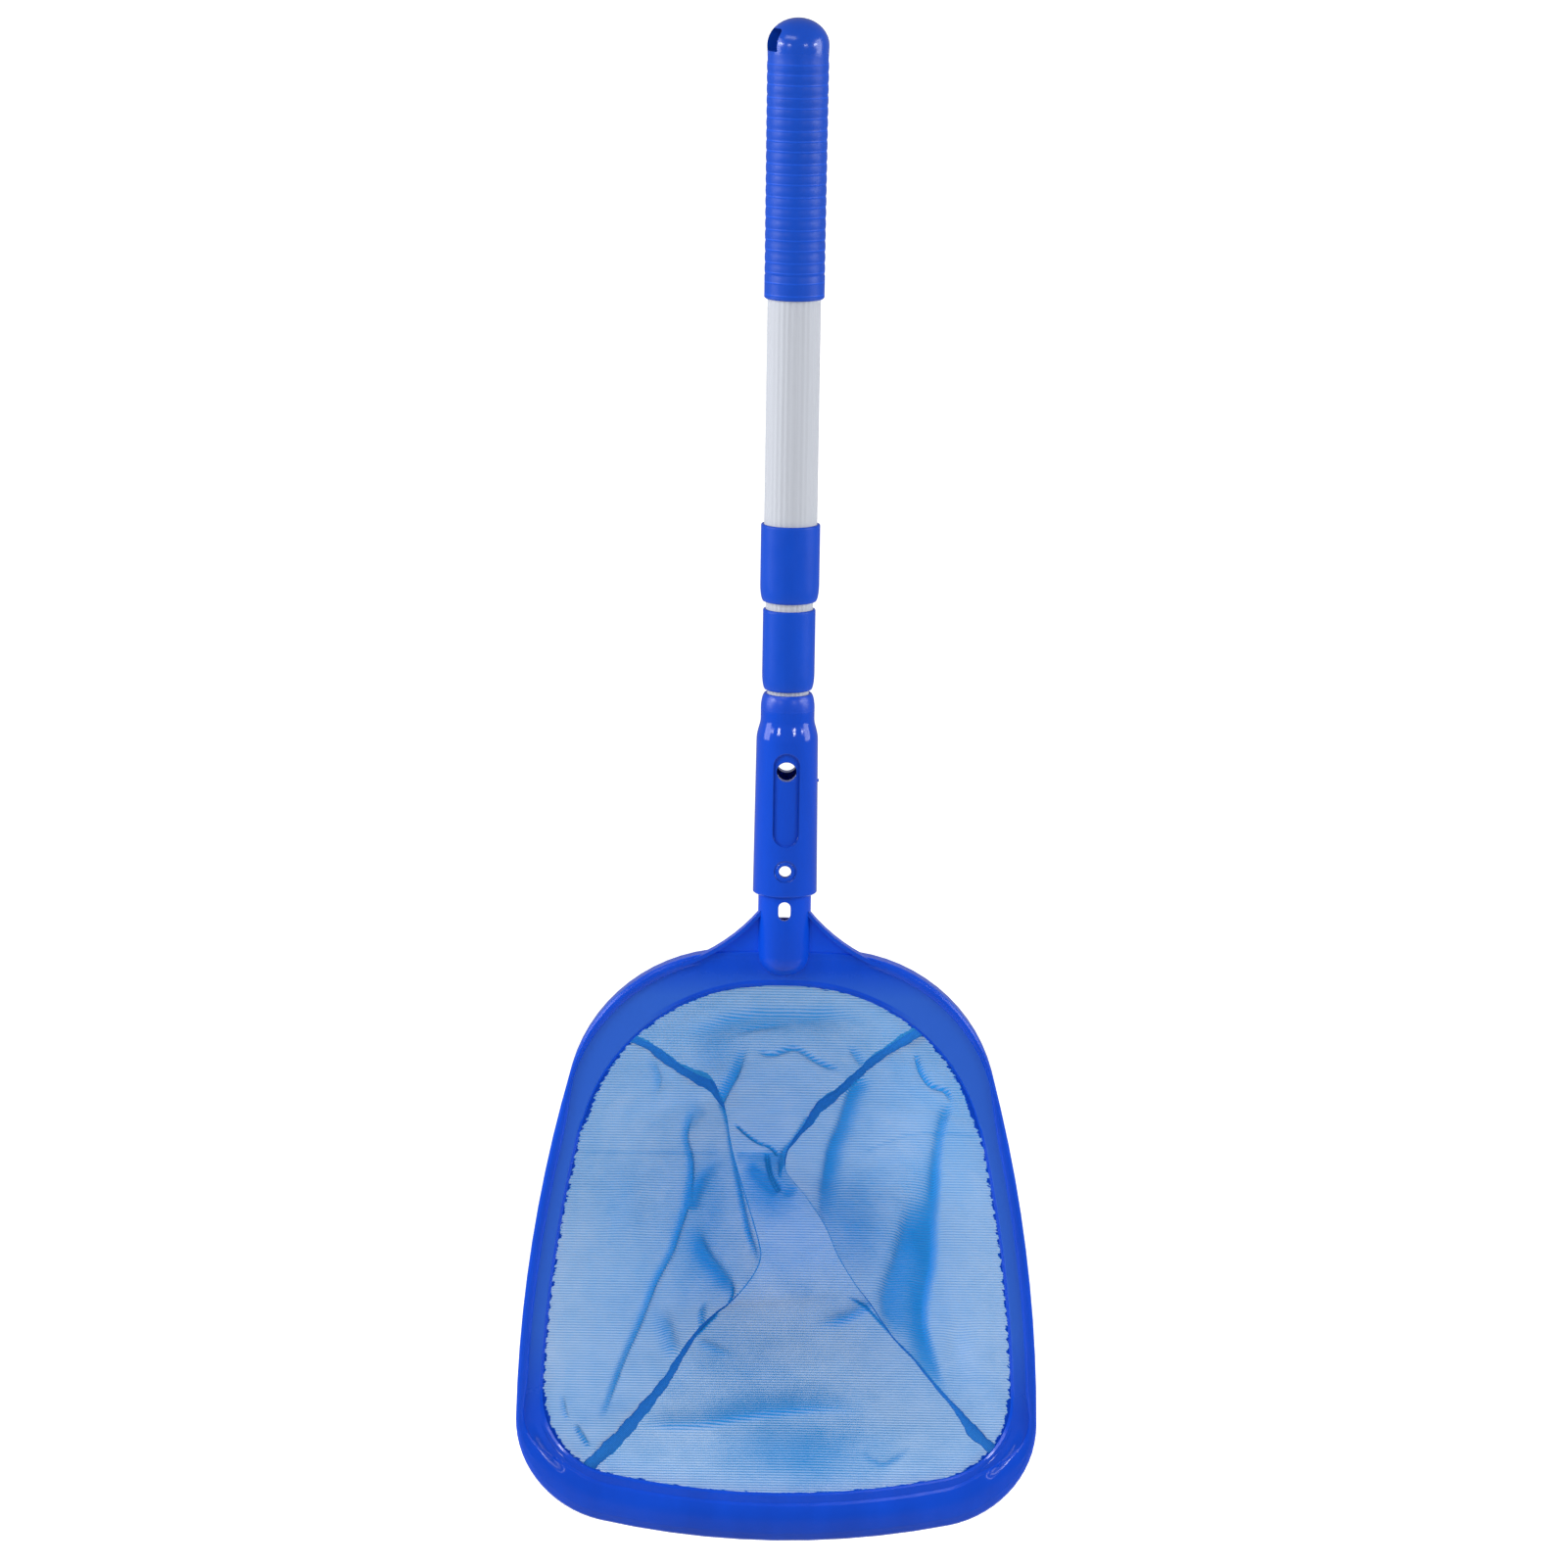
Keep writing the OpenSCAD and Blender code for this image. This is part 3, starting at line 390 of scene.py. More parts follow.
def ringed_plastic(name, colour, roughness):
    """Moulded plastic of the grip: painted highlights, a paler colour along the raised edges of its rings, which
    stand in threes.
    """
    shader = moulded_plastic(name, colour, roughness, grain=0.1, specular=0.2, ripples=0.1)
    _, _, z = shader.axes()
    down = shader.total(shader.product(z, -1.0 / MM), -RING_START)
    place = shader.math("FLOORED_MODULO", down, RING_GROUP)
    edges = [shader.spread(shader.gap(place, RING_LEAD + k * RING_GAP), (1.0, 0.0), (0.1, 0.6)) for k in range(RINGS)]
    begun = shader.spread(down, (0.0, 1.0), (0.0, 0.5))
    goes_on = shader.spread(down, (1.0, 0.0), (RING_END - 0.5, RING_END))
    edge = shader.product(shader.chain("MAXIMUM", *edges), begun, goes_on)
    # Painted highlight: the edges of the rings are tinted paler
    painted_highlight = shader.tint(shader.product(edge, 0.65), shader.so_far("Base Color"), shade(colour, 1.45))
    shader.use("Base Color", painted_highlight)
    shader.use("Normal", shader.bump(edge, 0.3, 0.4 * MM, shader.so_far("Normal")))
    # The domed end is polished by the hand
    shader.use("Roughness", shader.less(shader.so_far("Roughness"), shader.spread(down, (0.22, 0.0), DOME_FADE)))
    shader.use("Specular IOR Level", shader.spread(down, (0.38, 0.2), DOME_FADE))
    return shader.material


# The connector: heights between which its gloss gives way to the duller ferrule, and the ring round its small
# hole (side, height, radius)
FERRULE_FADE = (-352.0, -350.0)
HOLE_RING = (0.2, -435.0, 5.4)


def connector_plastic(name, colour, roughness):
    """Glossy moulded plastic: duller on the ferrule, with a moulded ring round the small hole."""
    shader = moulded_plastic(name, colour, roughness, grain=0.08, specular=0.34, ripples=0.1, edge=0.8 * MM)
    x, _, z = shader.axes()
    dull = shader.spread(z, (0.0, 0.22), mm(*FERRULE_FADE))
    shader.use("Roughness", shader.total(shader.so_far("Roughness"), dull))
    side, height, radius = mm(*HOLE_RING)
    off_ring = shader.gap(shader.reach(shader.less(x, side), shader.less(z, height)), radius)
    groove = shader.spread(off_ring, (0.0, 1.0), mm(0.1, 0.7), "SMOOTHSTEP")
    shader.use("Normal", shader.bump(groove, 1.0, 0.3 * MM, shader.so_far("Normal")))
    return shader.material


# The flat face of the ring and the web above it (their y), and the heights between which the face gives way to the
# lip and to the web, and between which painted shade darkens the lip at its foot
RING_FACE_Y, WEB_Y = -4.5, -3.5
LIP_FADE = (-735.0, -690.0)
WEB_FADE = (-506.0, -490.0)
FOOT_SHADE_FADE = (-805.0, -787.0)
# Along the top of the opening the face rolls down to the mesh, and there it keeps the darker colour without the
# face's painted sheen: where the roll starts, from the opening's edge, and the distances from the middle between
# which the roll ends
ROLL_BAND = (3.1, 3.9)
ROLL_ENDS = (52.0, 72.0)
# Steps of the lip at its corners, in millimetres from the mouth's edge: start, end and height; and the angles
# from straight down between which they come and go
LIP_STEPS = ((6.0, 11.0, 3.0), (2.4, 3.6, 0.7))
LIP_CORNER = (34.0, 44.0, 62.0, 76.0)
# How much duller the face is than the rest, and how much glossier the corners are
FACE_DULL, CORNER_POLISH = 0.3, 0.07


def from_arc(shader, arc, aside, z):
    """Distance from an arc's centre, and the two sides that it is made of: out from it and down from it."""
    centre = mm(*INNER_LINE[arc][0])
    out, down = shader.less(aside, centre[0]), shader.less(centre[1], z)
    if arc == SHOULDER:
        out = shader.math("MAXIMUM", out, 0.0)
    return shader.reach(out, down), out, down


def two_tone_plastic(name, colour, face_sheen_colour, roughness):
    """Moulded plastic, less glossy and painted paler as a sheen on the flat face of the ring; painted light brightens
    the web above it and painted shade darkens the lip's foot.
    """
    shader = moulded_plastic(name, colour, roughness, grain=0.12, specular=0.22)
    x, y, z = shader.axes()
    aside = shader.math("ABSOLUTE", x)
    below_web = shader.spread(z, (1.0, 0.0), mm(*WEB_FADE))
    # Painted light brightens the web above the face
    on_web = shader.spread(shader.gap(y, WEB_Y * MM), (1.0, 0.0), mm(0.4, 1.0))
    web_light = shader.product(on_web, shader.spread(below_web, (0.6, 0.0)))
    lit_and_shaded = shader.tint(web_light, shader.so_far("Base Color"), shade(colour, 1.5))
    # Painted shade darkens the lip towards its foot
    lit_and_shaded = shader.tint(shader.spread(z, (0.3, 0.0), mm(*FOOT_SHADE_FADE)), lit_and_shaded, shade(colour, 0.2))
    # Painted sheen: the flat face is tinted paler, and it is duller too
    on_face = shader.spread(shader.gap(y, RING_FACE_Y * MM), (1.0, 0.0), mm(0.2, 0.7))
    above_lip = shader.spread(z, (0.0, 1.0), mm(*LIP_FADE))
    radius = INNER_LINE[SHOULDER][1]
    clear = shader.spread(from_arc(shader, SHOULDER, aside, z)[0], (0.0, 1.0), mm(*(radius + d for d in ROLL_BAND)))
    unrolled = shader.math("MAXIMUM", clear, shader.spread(aside, (0.0, 1.0), mm(*ROLL_ENDS)))
    face = shader.product(on_face, above_lip, below_web, unrolled)
    shader.use("Base Color", shader.tint(face, lit_and_shaded, face_sheen_colour))
    gloss = shader.total(shader.so_far("Roughness"), shader.product(face, FACE_DULL))
    # At its two corners the lip rolls down towards the mesh in two steps
    radius = INNER_LINE[CORNER][1]
    reach, out, down = from_arc(shader, CORNER, aside, z)
    steps = [
        shader.spread(reach, (0.0, high * MM), mm(radius + start, radius + end), "SMOOTHSTEP")
        for start, end, high in LIP_STEPS
    ]
    turn = shader.math("ARCTAN2", out, down)
    start, full, fade, end = (math.radians(a) for a in LIP_CORNER)
    comes = shader.spread(turn, (0.0, 1.0), (start, full), "SMOOTHSTEP")
    goes = shader.spread(turn, (1.0, 0.0), (fade, end), "SMOOTHSTEP")
    corner = shader.product(comes, goes)
    flat = shader.so_far("Normal")
    shader.use("Normal", shader.turned(corner, flat, shader.bump(shader.total(*steps), 1.0, 1.0, flat)))
    shader.use("Roughness", shader.less(gloss, shader.product(corner, CORNER_POLISH)))
    return shader.material


def brushed_aluminium(name, colour):
    """Drawn and anodised tube: streaks along its length, in colour, gloss and relief."""
    shader = Shader(name, colour, 0.5, specular=0.1)
    streak = shader.noise(shader.place((260.0, 260.0, 2.0)), 5.0, 5.0, 0.6)
    shader.use("Base Color", shader.tint(streak, shade(colour, 0.92), shade(colour, 1.05)))
    shader.use("Roughness", shader.spread(streak, (0.46, 0.6), NOISE_CORE))
    shader.use("Normal", shader.bump(streak, 0.25, 0.05 * MM))
    return shader.material


def plated_steel(name, colour):
    """Zinc-plated screw steel: spangle in the colour and the gloss."""
    shader = Shader(name, colour, 0.3, metallic=1.0)
    spangle = shader.noise(shader.place(), 700.0, 4.0)
    shader.use("Base Color", shader.tint(spangle, shade(colour, 0.85), shade(colour, 1.1)))
    shader.use("Roughness", shader.spread(spangle, (0.22, 0.42)))
    return shader.material


CLOTH_MAP = "cloth"
# Heights between which the bag's colour deepens
LOW_FADE = (-765.0, -690.0)
# Distance from the hem, in millimetres, that the ring's plastic has run into the mesh, by how much it varies,
# and the width of its edge
HEM_SOAK, HEM_RAG, HEM_EDGE = 6.3, 5.0, 0.3
# Share of the bag's slope that its shade follows
THREAD_SLOPE = 0.2
# Pitch of the mesh's wales as a share of its rows', and how much they thicken a row
WALE_SHARE, WALE_WEIGHT = 0.8, 0.35
# How much thread the rows, the unevenness and the bunching add to the mesh's cover, either way
ROW_COVER, PATCH_COVER, GATHER_COVER = 0.1, 0.02, 0.165
# Share of the bunched colour's red, green and blue that is left in its furrows
FURROW_SHARE = (0.3, 0.45, 0.72, 1.0)
# Darkness of the painted shade in creases, and of the colour at the lowest part of the bag
CREASE_SHADE = 0.35


def thread_normal(shader):
    """The cloth's normal. Its threads are round, so inside the bag the shade changes less than the slope does."""
    slope = shader.node("ShaderNodeNewGeometry").node.outputs
    level = (0.0, THREAD_SLOPE - 1.0, 0.0)
    mouth = shader.node(
        "ShaderNodeVectorTransform", {0: level}, vector_type="VECTOR", convert_from="OBJECT", convert_to="WORLD"
    )
    inputs = {0: slope["Normal"], 1: (THREAD_SLOPE,) * 3, 2: mouth}
    eased = shader.node("ShaderNodeVectorMath", inputs, operation="MULTIPLY_ADD")
    eased = shader.node("ShaderNodeVectorMath", {0: eased}, operation="NORMALIZE")
    inputs = {0: slope["Backfacing"], 4: eased, 5: slope["Normal"]}
    return shader.node("ShaderNodeMix", inputs, 1, data_type="VECTOR")


def knitted_mesh(name, slack_colour, bunched_colour, hem_colour, cover, pitch):
    """Fine knitted mesh: rows of thread with gaps between them, closer where the cloth is bunched. The folds paint
    shade and light into its colour, darkest in the creases.
    """
    shader = Shader(name, slack_colour, 0.6, specular=0.06)
    across, down = shader.on_cloth()
    rows = shader.wave(down, pitch)
    wales = shader.wave(across, WALE_SHARE * pitch)
    stitch = shader.product(rows, shader.total(shader.product(wales, WALE_WEIGHT), 1.0))
    gather = shader.attribute("gather")
    crest = 1.0 + WALE_WEIGHT
    thread = shader.spread(stitch, (-ROW_COVER, ROW_COVER), (-crest, crest))
    patch = shader.spread(shader.noise(shader.place(), 75.0, 4.0, 0.6), (-PATCH_COVER, PATCH_COVER), NOISE_CORE)
    closed = shader.total(thread, patch, cover, shader.product(gather, GATHER_COVER))
    # The bunched colour also paints the folds' shade and light
    bunched = shader.spread(gather, (0.0, 1.0))
    body = shader.tint(bunched, slack_colour, bunched_colour)
    furrow = shader.spread(rows, (0.0, 1.0), (1.0, -1.0))
    hatch = shader.product(furrow, shader.total(shader.product(bunched, 0.5), 0.08))
    hatched = shader.tint(hatch, body, tuple(np.array(bunched_colour) * FURROW_SHARE))
    # Painted shade: creases, where the gathering goes past 1, darken towards a deep colour
    crease_shaded = shader.tint(shader.spread(gather, (0.0, 1.0), (1.0, 2.0)), hatched, shade(bunched_colour, CREASE_SHADE))
    lowered = shader.low_tint(crease_shaded, shade(bunched_colour, CREASE_SHADE), 0.24)
    # The plastic of the ring has run into the mesh along the hem, with a ragged edge
    ragged = shader.product(shader.noise(shader.place((0.25, 0.25, 1.0)), 700.0, 2.0, 0.6), HEM_RAG)
    reach = shader.total(shader.attribute("hem"), ragged)
    soaked = shader.spread(reach, (1.0, 0.0), (HEM_SOAK, HEM_SOAK + HEM_EDGE))
    shader.use("Base Color", shader.tint(soaked, lowered, hem_colour))
    shader.use("Alpha", shader.spread(shader.total(closed, soaked), (0.0, 1.0)))
    shader.use("Normal", shader.bump(stitch, 0.3, 0.1 * MM, thread_normal(shader)))
    return shader.material


def woven_tape(name, colour, pitch):
    """Binding tape: close cross ribs, and fuzz between them."""
    shader = Shader(name, colour, 0.7, specular=0.15)
    _, down = shader.on_cloth()
    weave = shader.total(shader.product(shader.wave(down, pitch), 0.3), shader.noise(shader.place(), 900.0, 4.0))
    ribbed = shader.tint(shader.spread(weave, (0.0, 1.0), (0.1, 0.9)), shade(colour, 0.72), shade(colour, 1.18))
    shader.use("Base Color", shader.low_tint(ribbed, shade(colour, CREASE_SHADE), 0.25))
    shader.use("Normal", shader.bump(weave, 0.5, 0.2 * MM))
    return shader.material


# Share of white that the floor adds for the camera alone
FLOOR_LIFT = 0.9


def plain_floor(name, colour):
    """Matt studio floor, with a trace of unevenness. It shows white to the camera and keeps its shadows."""
    shader = Shader(name, colour, 0.9, specular=0.1)
    cloud = shader.noise(shader.place(), 2.0, 2.0)
    shader.use("Base Color", shader.tint(cloud, shade(colour, 0.985), colour))
    shader.inputs["Emission Color"].default_value = (1.0, 1.0, 1.0, 1.0)
    to_camera = shader.node("ShaderNodeLightPath", output="Is Camera Ray")
    shader.use("Emission Strength", shader.product(to_camera, FLOOR_LIFT))
    return shader.material


# ---- Objects

# Turn between faces, in degrees, from which an edge is kept crisp, for most pieces and for the grip
CRISP_ANGLE, GRIP_ANGLE = 14.0, 30.0
SHADING = "Smooth with crisp edges"


def soft_shading():
    """Node group that shades a mesh smoothly and keeps the edges that turn by more than its angle."""
    if SHADING in bpy.data.node_groups:
        return bpy.data.node_groups[SHADING]
    group = bpy.data.node_groups.new(SHADING, "GeometryNodeTree")
    group.interface.new_socket("Geometry", in_out="INPUT", socket_type="NodeSocketGeometry")
    angle = group.interface.new_socket("Angle", in_out="INPUT", socket_type="NodeSocketFloat")
    angle.default_value = math.radians(CRISP_ANGLE)
    group.interface.new_socket("Geometry", in_out="OUTPUT", socket_type="NodeSocketGeometry")
    start = add_node(group, "NodeGroupInput").node.outputs
    inputs = {"Geometry": start["Geometry"], "Name": "custom_normal"}
    whole = add_node(group, "GeometryNodeRemoveAttribute", inputs)
    whole = add_node(group, "GeometryNodeMergeByDistance", {"Geometry": whole, "Distance": 0.002 * MM})
    inputs = {"Geometry": whole, "Shade Smooth": True}
    smooth = add_node(group, "GeometryNodeSetShadeSmooth", inputs, domain="FACE")
    inputs = {0: add_node(group, "GeometryNodeInputMeshEdgeAngle", output="Unsigned Angle"), 1: start["Angle"]}
    sharp = add_node(group, "FunctionNodeCompare", inputs, data_type="FLOAT", operation="GREATER_THAN")
    inputs = {"Geometry": smooth, "Selection": sharp, "Shade Smooth": False}
    crisp = add_node(group, "GeometryNodeSetShadeSmooth", inputs, domain="EDGE")
    add_node(group, "NodeGroupOutput", {"Geometry": crisp})
    return group


def put_on(piece, material):
    """Gives a piece one material, held by the object."""
    piece.data.materials.clear()
    piece.data.materials.append(None)
    piece.material_slots[0].link = "OBJECT"
    piece.material_slots[0].material = material


def dress(node, material, angle=CRISP_ANGLE):
    """Gives a CAD node its finish, and smooth shading with its edges kept."""
    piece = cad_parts[node]
    put_on(piece, material)
    shading = piece.modifiers.new(SHADING, "NODES")
    shading.node_group = soft_shading()
    inputs = shading.node_group.interface.items_tree
    shading[next(item.identifier for item in inputs if item.name == "Angle")] = math.radians(angle)


def new_piece(name, points, faces, material, body):
    """A mesh piece in metres that rides on a body and takes its finish from a slot."""
    mesh = bpy.data.meshes.new(name)
    mesh.from_pydata([tuple(p) for p in points], [], faces)
    mesh.validate()
    mesh.shade_smooth()
    piece = bpy.data.objects.new(name, mesh)
    bpy.context.scene.collection.objects.link(piece)
    put_on(piece, material)
    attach(piece, body)
    return piece


def grid_quads(rows, cols, wrap=False):
    """Quads over a grid of points, rows first."""
    return [
        (i * cols + j, i * cols + (j + 1) % cols, (i + 1) * cols + (j + 1) % cols, (i + 1) * cols + j)
        for i in range(rows - 1)
        for j in range(cols if wrap else cols - 1)
    ]


# ---- Pole

TUBE_WALL, TUBE_CHAMFER = mm(1.0, 0.25)
SAMPLES_PER_FLUTE = 8


def fluted_tube(node, body, material):
    """The drawn tube with its flutes, in place of the plain CAD tube."""
    (low_x, _, low_z), (high_x, _, high_z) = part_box(node)
    outer = (high_x - low_x) / 2
    bore = outer - TUBE_WALL
    # Radius, height and whether the flutes are sunk into it, round the wall's section
    stations = [
        (bore + TUBE_CHAMFER, low_z, False),
        (outer - TUBE_CHAMFER, low_z, True),
        (outer, low_z + TUBE_CHAMFER, True),
        (outer, high_z - TUBE_CHAMFER, True),
        (outer - TUBE_CHAMFER, high_z, True),
        (bore + TUBE_CHAMFER, high_z, False),
        (bore, high_z - TUBE_CHAMFER, False),
        (bore, low_z + TUBE_CHAMFER, False),
    ]
    rings = len(stations)
    count = max(1, sizes().flutes) * SAMPLES_PER_FLUTE
    points = []
    for radius, z, fluted in stations:
        for k in range(count):
            angle = 2 * math.pi * k / count
            wave = 0.5 - 0.5 * math.cos(2 * math.pi * k / SAMPLES_PER_FLUTE)
            r = radius - (sizes().flute_depth * wave if fluted else 0.0)
            points.append((r * math.sin(angle), -r * math.cos(angle), z))
    last = (rings - 1) * count
    faces = grid_quads(rings, count, wrap=True)
    faces += [(last + k, last + (k + 1) % count, (k + 1) % count, k) for k in range(count)]
    piece = new_piece(node + "_fluted", points, faces, material, body)
    piece.modifiers.new(SHADING, "NODES").node_group = soft_shading()
    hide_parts(node)


# ---- View that the bag's folds were laid out in: eye point and direction, in millimetres

VIEW_TILT = math.radians(11.5)
VIEW_ROLL = math.radians(0.92)
VIEW_CENTRE = Vector((-1.3, 0.0, -391.0))
VIEW_DISTANCE = 3100.0
BACKWARD = Vector((0.0, -math.cos(VIEW_TILT), math.sin(VIEW_TILT)))
EYE = VIEW_CENTRE + BACKWARD * VIEW_DISTANCE


def behind(x, z, depth):
    """The point that lies a depth behind the hem's plane on the line of sight through (x, z) of it."""
    start = np.array([x, HEM_Y, z])
    sight = start - np.array(EYE)
    return start + sight * (depth / sight[1])


def seen(points):
    """Where points are seen in the hem's plane: x and z on the lines of sight."""
    eye = np.array(EYE)
    sight = points - eye
    hit = eye + sight * ((HEM_Y - eye[1]) / sight[..., 1:2])
    return hit[..., 0], hit[..., 2]


# ---- Curves


def ease(t):
    t = np.clip(t, 0, 1)
    return t * t * (3 - 2 * t)


def travelled(line):
    """Length of a line of points up to each of them."""
    return np.concatenate([[0], np.cumsum(np.linalg.norm(np.diff(line, axis=0), axis=1))])


def evenly(line, count):
    """Points at an even pace along a line of points."""
    run = travelled(line)
    wanted = np.linspace(0, run[-1], count)
    return np.stack([np.interp(wanted, run, part) for part in line.T], axis=1)


def smooth_curve(points, count, steps=24):
    """Even points along a smooth curve through the given ones."""
    points = np.array(points, float)
    padded = np.vstack([2 * points[0] - points[1], points, 2 * points[-1] - points[-2]])
    t = np.linspace(0, 1, steps, endpoint=False)[:, None]
    stretches = [
        0.5 * (2 * p1 + (p2 - p0) * t + (2 * p0 - 5 * p1 + 4 * p2 - p3) * t**2 + (3 * p1 - p0 - 3 * p2 + p3) * t**3)
        for p0, p1, p2, p3 in zip(padded, padded[1:], padded[2:], padded[3:])
    ]
    return evenly(np.vstack([*stretches, points[-1:]]), count)


def along_path(x, z, path, count=60):
    """Distance from a path, positive on its right going down, and the share of it passed, for each point."""
    path = smooth_curve(path, count)
    best = np.full(x.shape, np.inf)
    signed, share = np.zeros(x.shape), np.zeros(x.shape)
    for k in range(count - 1):
        ax, az = path[k]
        dx, dz = path[k + 1] - path[k]
        s = np.clip(((x - ax) * dx + (z - az) * dz) / (dx * dx + dz * dz), 0, 1)
        px, pz = x - ax - s * dx, z - az - s * dz
        far = np.hypot(px, pz)
        near = far < best
        best = np.where(near, far, best)
        signed = np.where(near, np.sign(dx * pz - dz * px) * far, signed)
        share = np.where(near, (k + s) / (count - 1), share)
    return signed, share


# ---- Bag

MAIN_ROWS, MAIN_COLS, SIDE_COLS = 300, 190, 150
# Seams, from the shoulder down. Each starts and ends at an angle round the hem. Between them it runs through
# points: x and z in the hem's plane, and depth behind that.
SEAM_ANGLES = {"left": (-46.5, -152.0), "right": (41.0, 126.0)}
SEAM_POINTS = {
    "left": [
        (-71.8, -533.6, 14), (-63.1, -540.0, 27), (-55.2, -545.5, 38), (-47.3, -549.5, 47),
        (-40.8, -552.8, 56), (-36.5, -557.2, 62), (-33.3, -562.3, 67), (-29.5, -571.1, 80),
        (-25.9, -591.1, 98), (-17.9, -618.0, 109), (-11.0, -641.3, 112), (-10.1, -652.1, 110),
        (-16.2, -664.2, 104), (-26.5, -675.9, 95), (-33.3, -681.5, 87), (-43.5, -692.6, 73),
        (-53.5, -708.6, 55), (-58.2, -717.3, 47), (-64.9, -726.9, 38), (-71.6, -735.7, 30),
        (-78.4, -744.4, 21), (-85.7, -753.2, 13), (-93.2, -760.7, 6),
    ],
    "right": [
        (70.4, -524.8, 4), (60.0, -531.7, 19), (50.3, -538.6, 34), (45.2, -543.3, 41),
        (39.4, -549.3, 50), (31.1, -557.1, 60), (24.6, -562.5, 68), (19.5, -567.4, 73),
        (15.1, -574.7, 79), (10.6, -580.3, 85), (6.7, -585.8, 90), (3.4, -591.6, 94),
        (3.3, -603.0, 103), (13.5, -615.9, 109), (24.3, -632.0, 112), (31.9, -649.3, 108),
        (40.6, -663.3, 98), (49.2, -674.3, 88), (56.2, -684.9, 79), (62.7, -694.1, 70),
        (73.4, -705.1, 57), (79.6, -712.8, 48), (87.3, -722.1, 37), (92.4, -727.9, 30),
        (97.3, -733.6, 23), (102.0, -739.8, 16), (106.7, -746.0, 10), (111.9, -750.8, 5),
    ],
}
# How far the main panel bellies out behind, as a share of its width, and a side panel outwards and back
MAIN_BELLY, SIDE_BELLY = 0.085, 5.4
# Beside the waist the left panel rolls over its seam: shares of the seam's length between which it does, over
# which that comes and goes, and how far it reaches sideways and forward
OVER_SPAN, OVER_EASE, OVER_REACH = (0.5, 0.62), 0.12, (4.0, 5.0)
# Where the roll stands across the panel, how wide it is and over what share it rises from the seam
OVER_PLACE, OVER_WIDTH, OVER_FOOT = 0.11, 0.085, 0.05


def seam(side):
    top, low = (hem_point(a) for a in SEAM_ANGLES[side])
    return smooth_curve([top, *(behind(*point) for point in SEAM_POINTS[side]), low], MAIN_ROWS)


def rim(start, end, count):
    """Points of the hem between two angles. They may pass straight down, which is 180 or -180."""
    return np.array([hem_point(a if a > -180.0 else a + 360.0) for a in np.linspace(start, end, count)])


def main_base():
    """The main panel before its folds: ruled between the seams, its ends bowed out to the hem."""
    left, right = seam("left"), seam("right")
    v = np.linspace(0, 1, MAIN_COLS)[None, :, None]
    t = np.linspace(0, 1, MAIN_ROWS)[:, None, None]
    ruled = left[:, None, :] * (1 - v) + right[:, None, :] * v
    width = np.linalg.norm(right - left, axis=1)[:, None, None]
    (left_top, left_low), (right_top, right_low) = SEAM_ANGLES["left"], SEAM_ANGLES["right"]
    top = rim(left_top, right_top, MAIN_COLS)[None]
    low = rim(left_low, right_low - 360.0, MAIN_COLS)[None]
    top_bow = (top - ruled[:1]) * (1 - t) ** 2 * np.minimum(1, width / width[0])
    low_bow = (low - ruled[-1:]) * t**2 * np.minimum(1, width / width[-1])
    belly = MAIN_BELLY * width * np.sin(math.pi * t) * (1 - (2 * v - 1) ** 2)
    return ruled + top_bow + low_bow + belly * np.array([0.0, 1.0, 0.0])


def side_base(side):
    """A side panel before its folds: ruled from the seam out to the hem, with a slight belly."""
    out = -1.0 if side == "left" else 1.0
    edge = seam(side)
    hem = evenly(rim(*SEAM_ANGLES[side], MAIN_ROWS), MAIN_ROWS)
    u = np.linspace(0, 1, SIDE_COLS)[None, :, None]
    t = np.linspace(0, 1, MAIN_ROWS)[:, None, None]
    belly = SIDE_BELLY * np.sin(math.pi * u) * np.sin(math.pi * t)
    panel = edge[:, None, :] * (1 - u) + hem[:, None, :] * u + belly * np.array([out, 1.0, 0.0])
    if side == "right":
        return panel
    (start, end), (reach, rise) = OVER_SPAN, OVER_REACH
    across = np.exp(-(((u - OVER_PLACE) / OVER_WIDTH) ** 2)) * ease(u / OVER_FOOT)
    roll = ease((t - start) / OVER_EASE) * ease((end - t) / OVER_EASE) * across
    return panel + roll * np.array([reach, -rise, 0.0])


class Fold:
    """A fold as seen from the front, along a path of points (x and z) of the hem's plane.

    It has a height towards the mouth; a width on the right of the path going down, and on its left (above and below a
    path that goes right); the share of its length over which each end fades; and how much its cloth is bunched, where
    above 1 is creased and below 0 is stretched thin. The bunching also paints shade and light: a fold with no height
    paints only that, as broad darker and paler zones, the shadow of the pocket at the waist among them.
    """

    def __init__(self, rise, widths, fades, bunch, *path):
        self.rise, self.bunch, self.path = rise, bunch, path
        self.widths, self.fades = np.broadcast_to(widths, 2), np.broadcast_to(fades, 2)
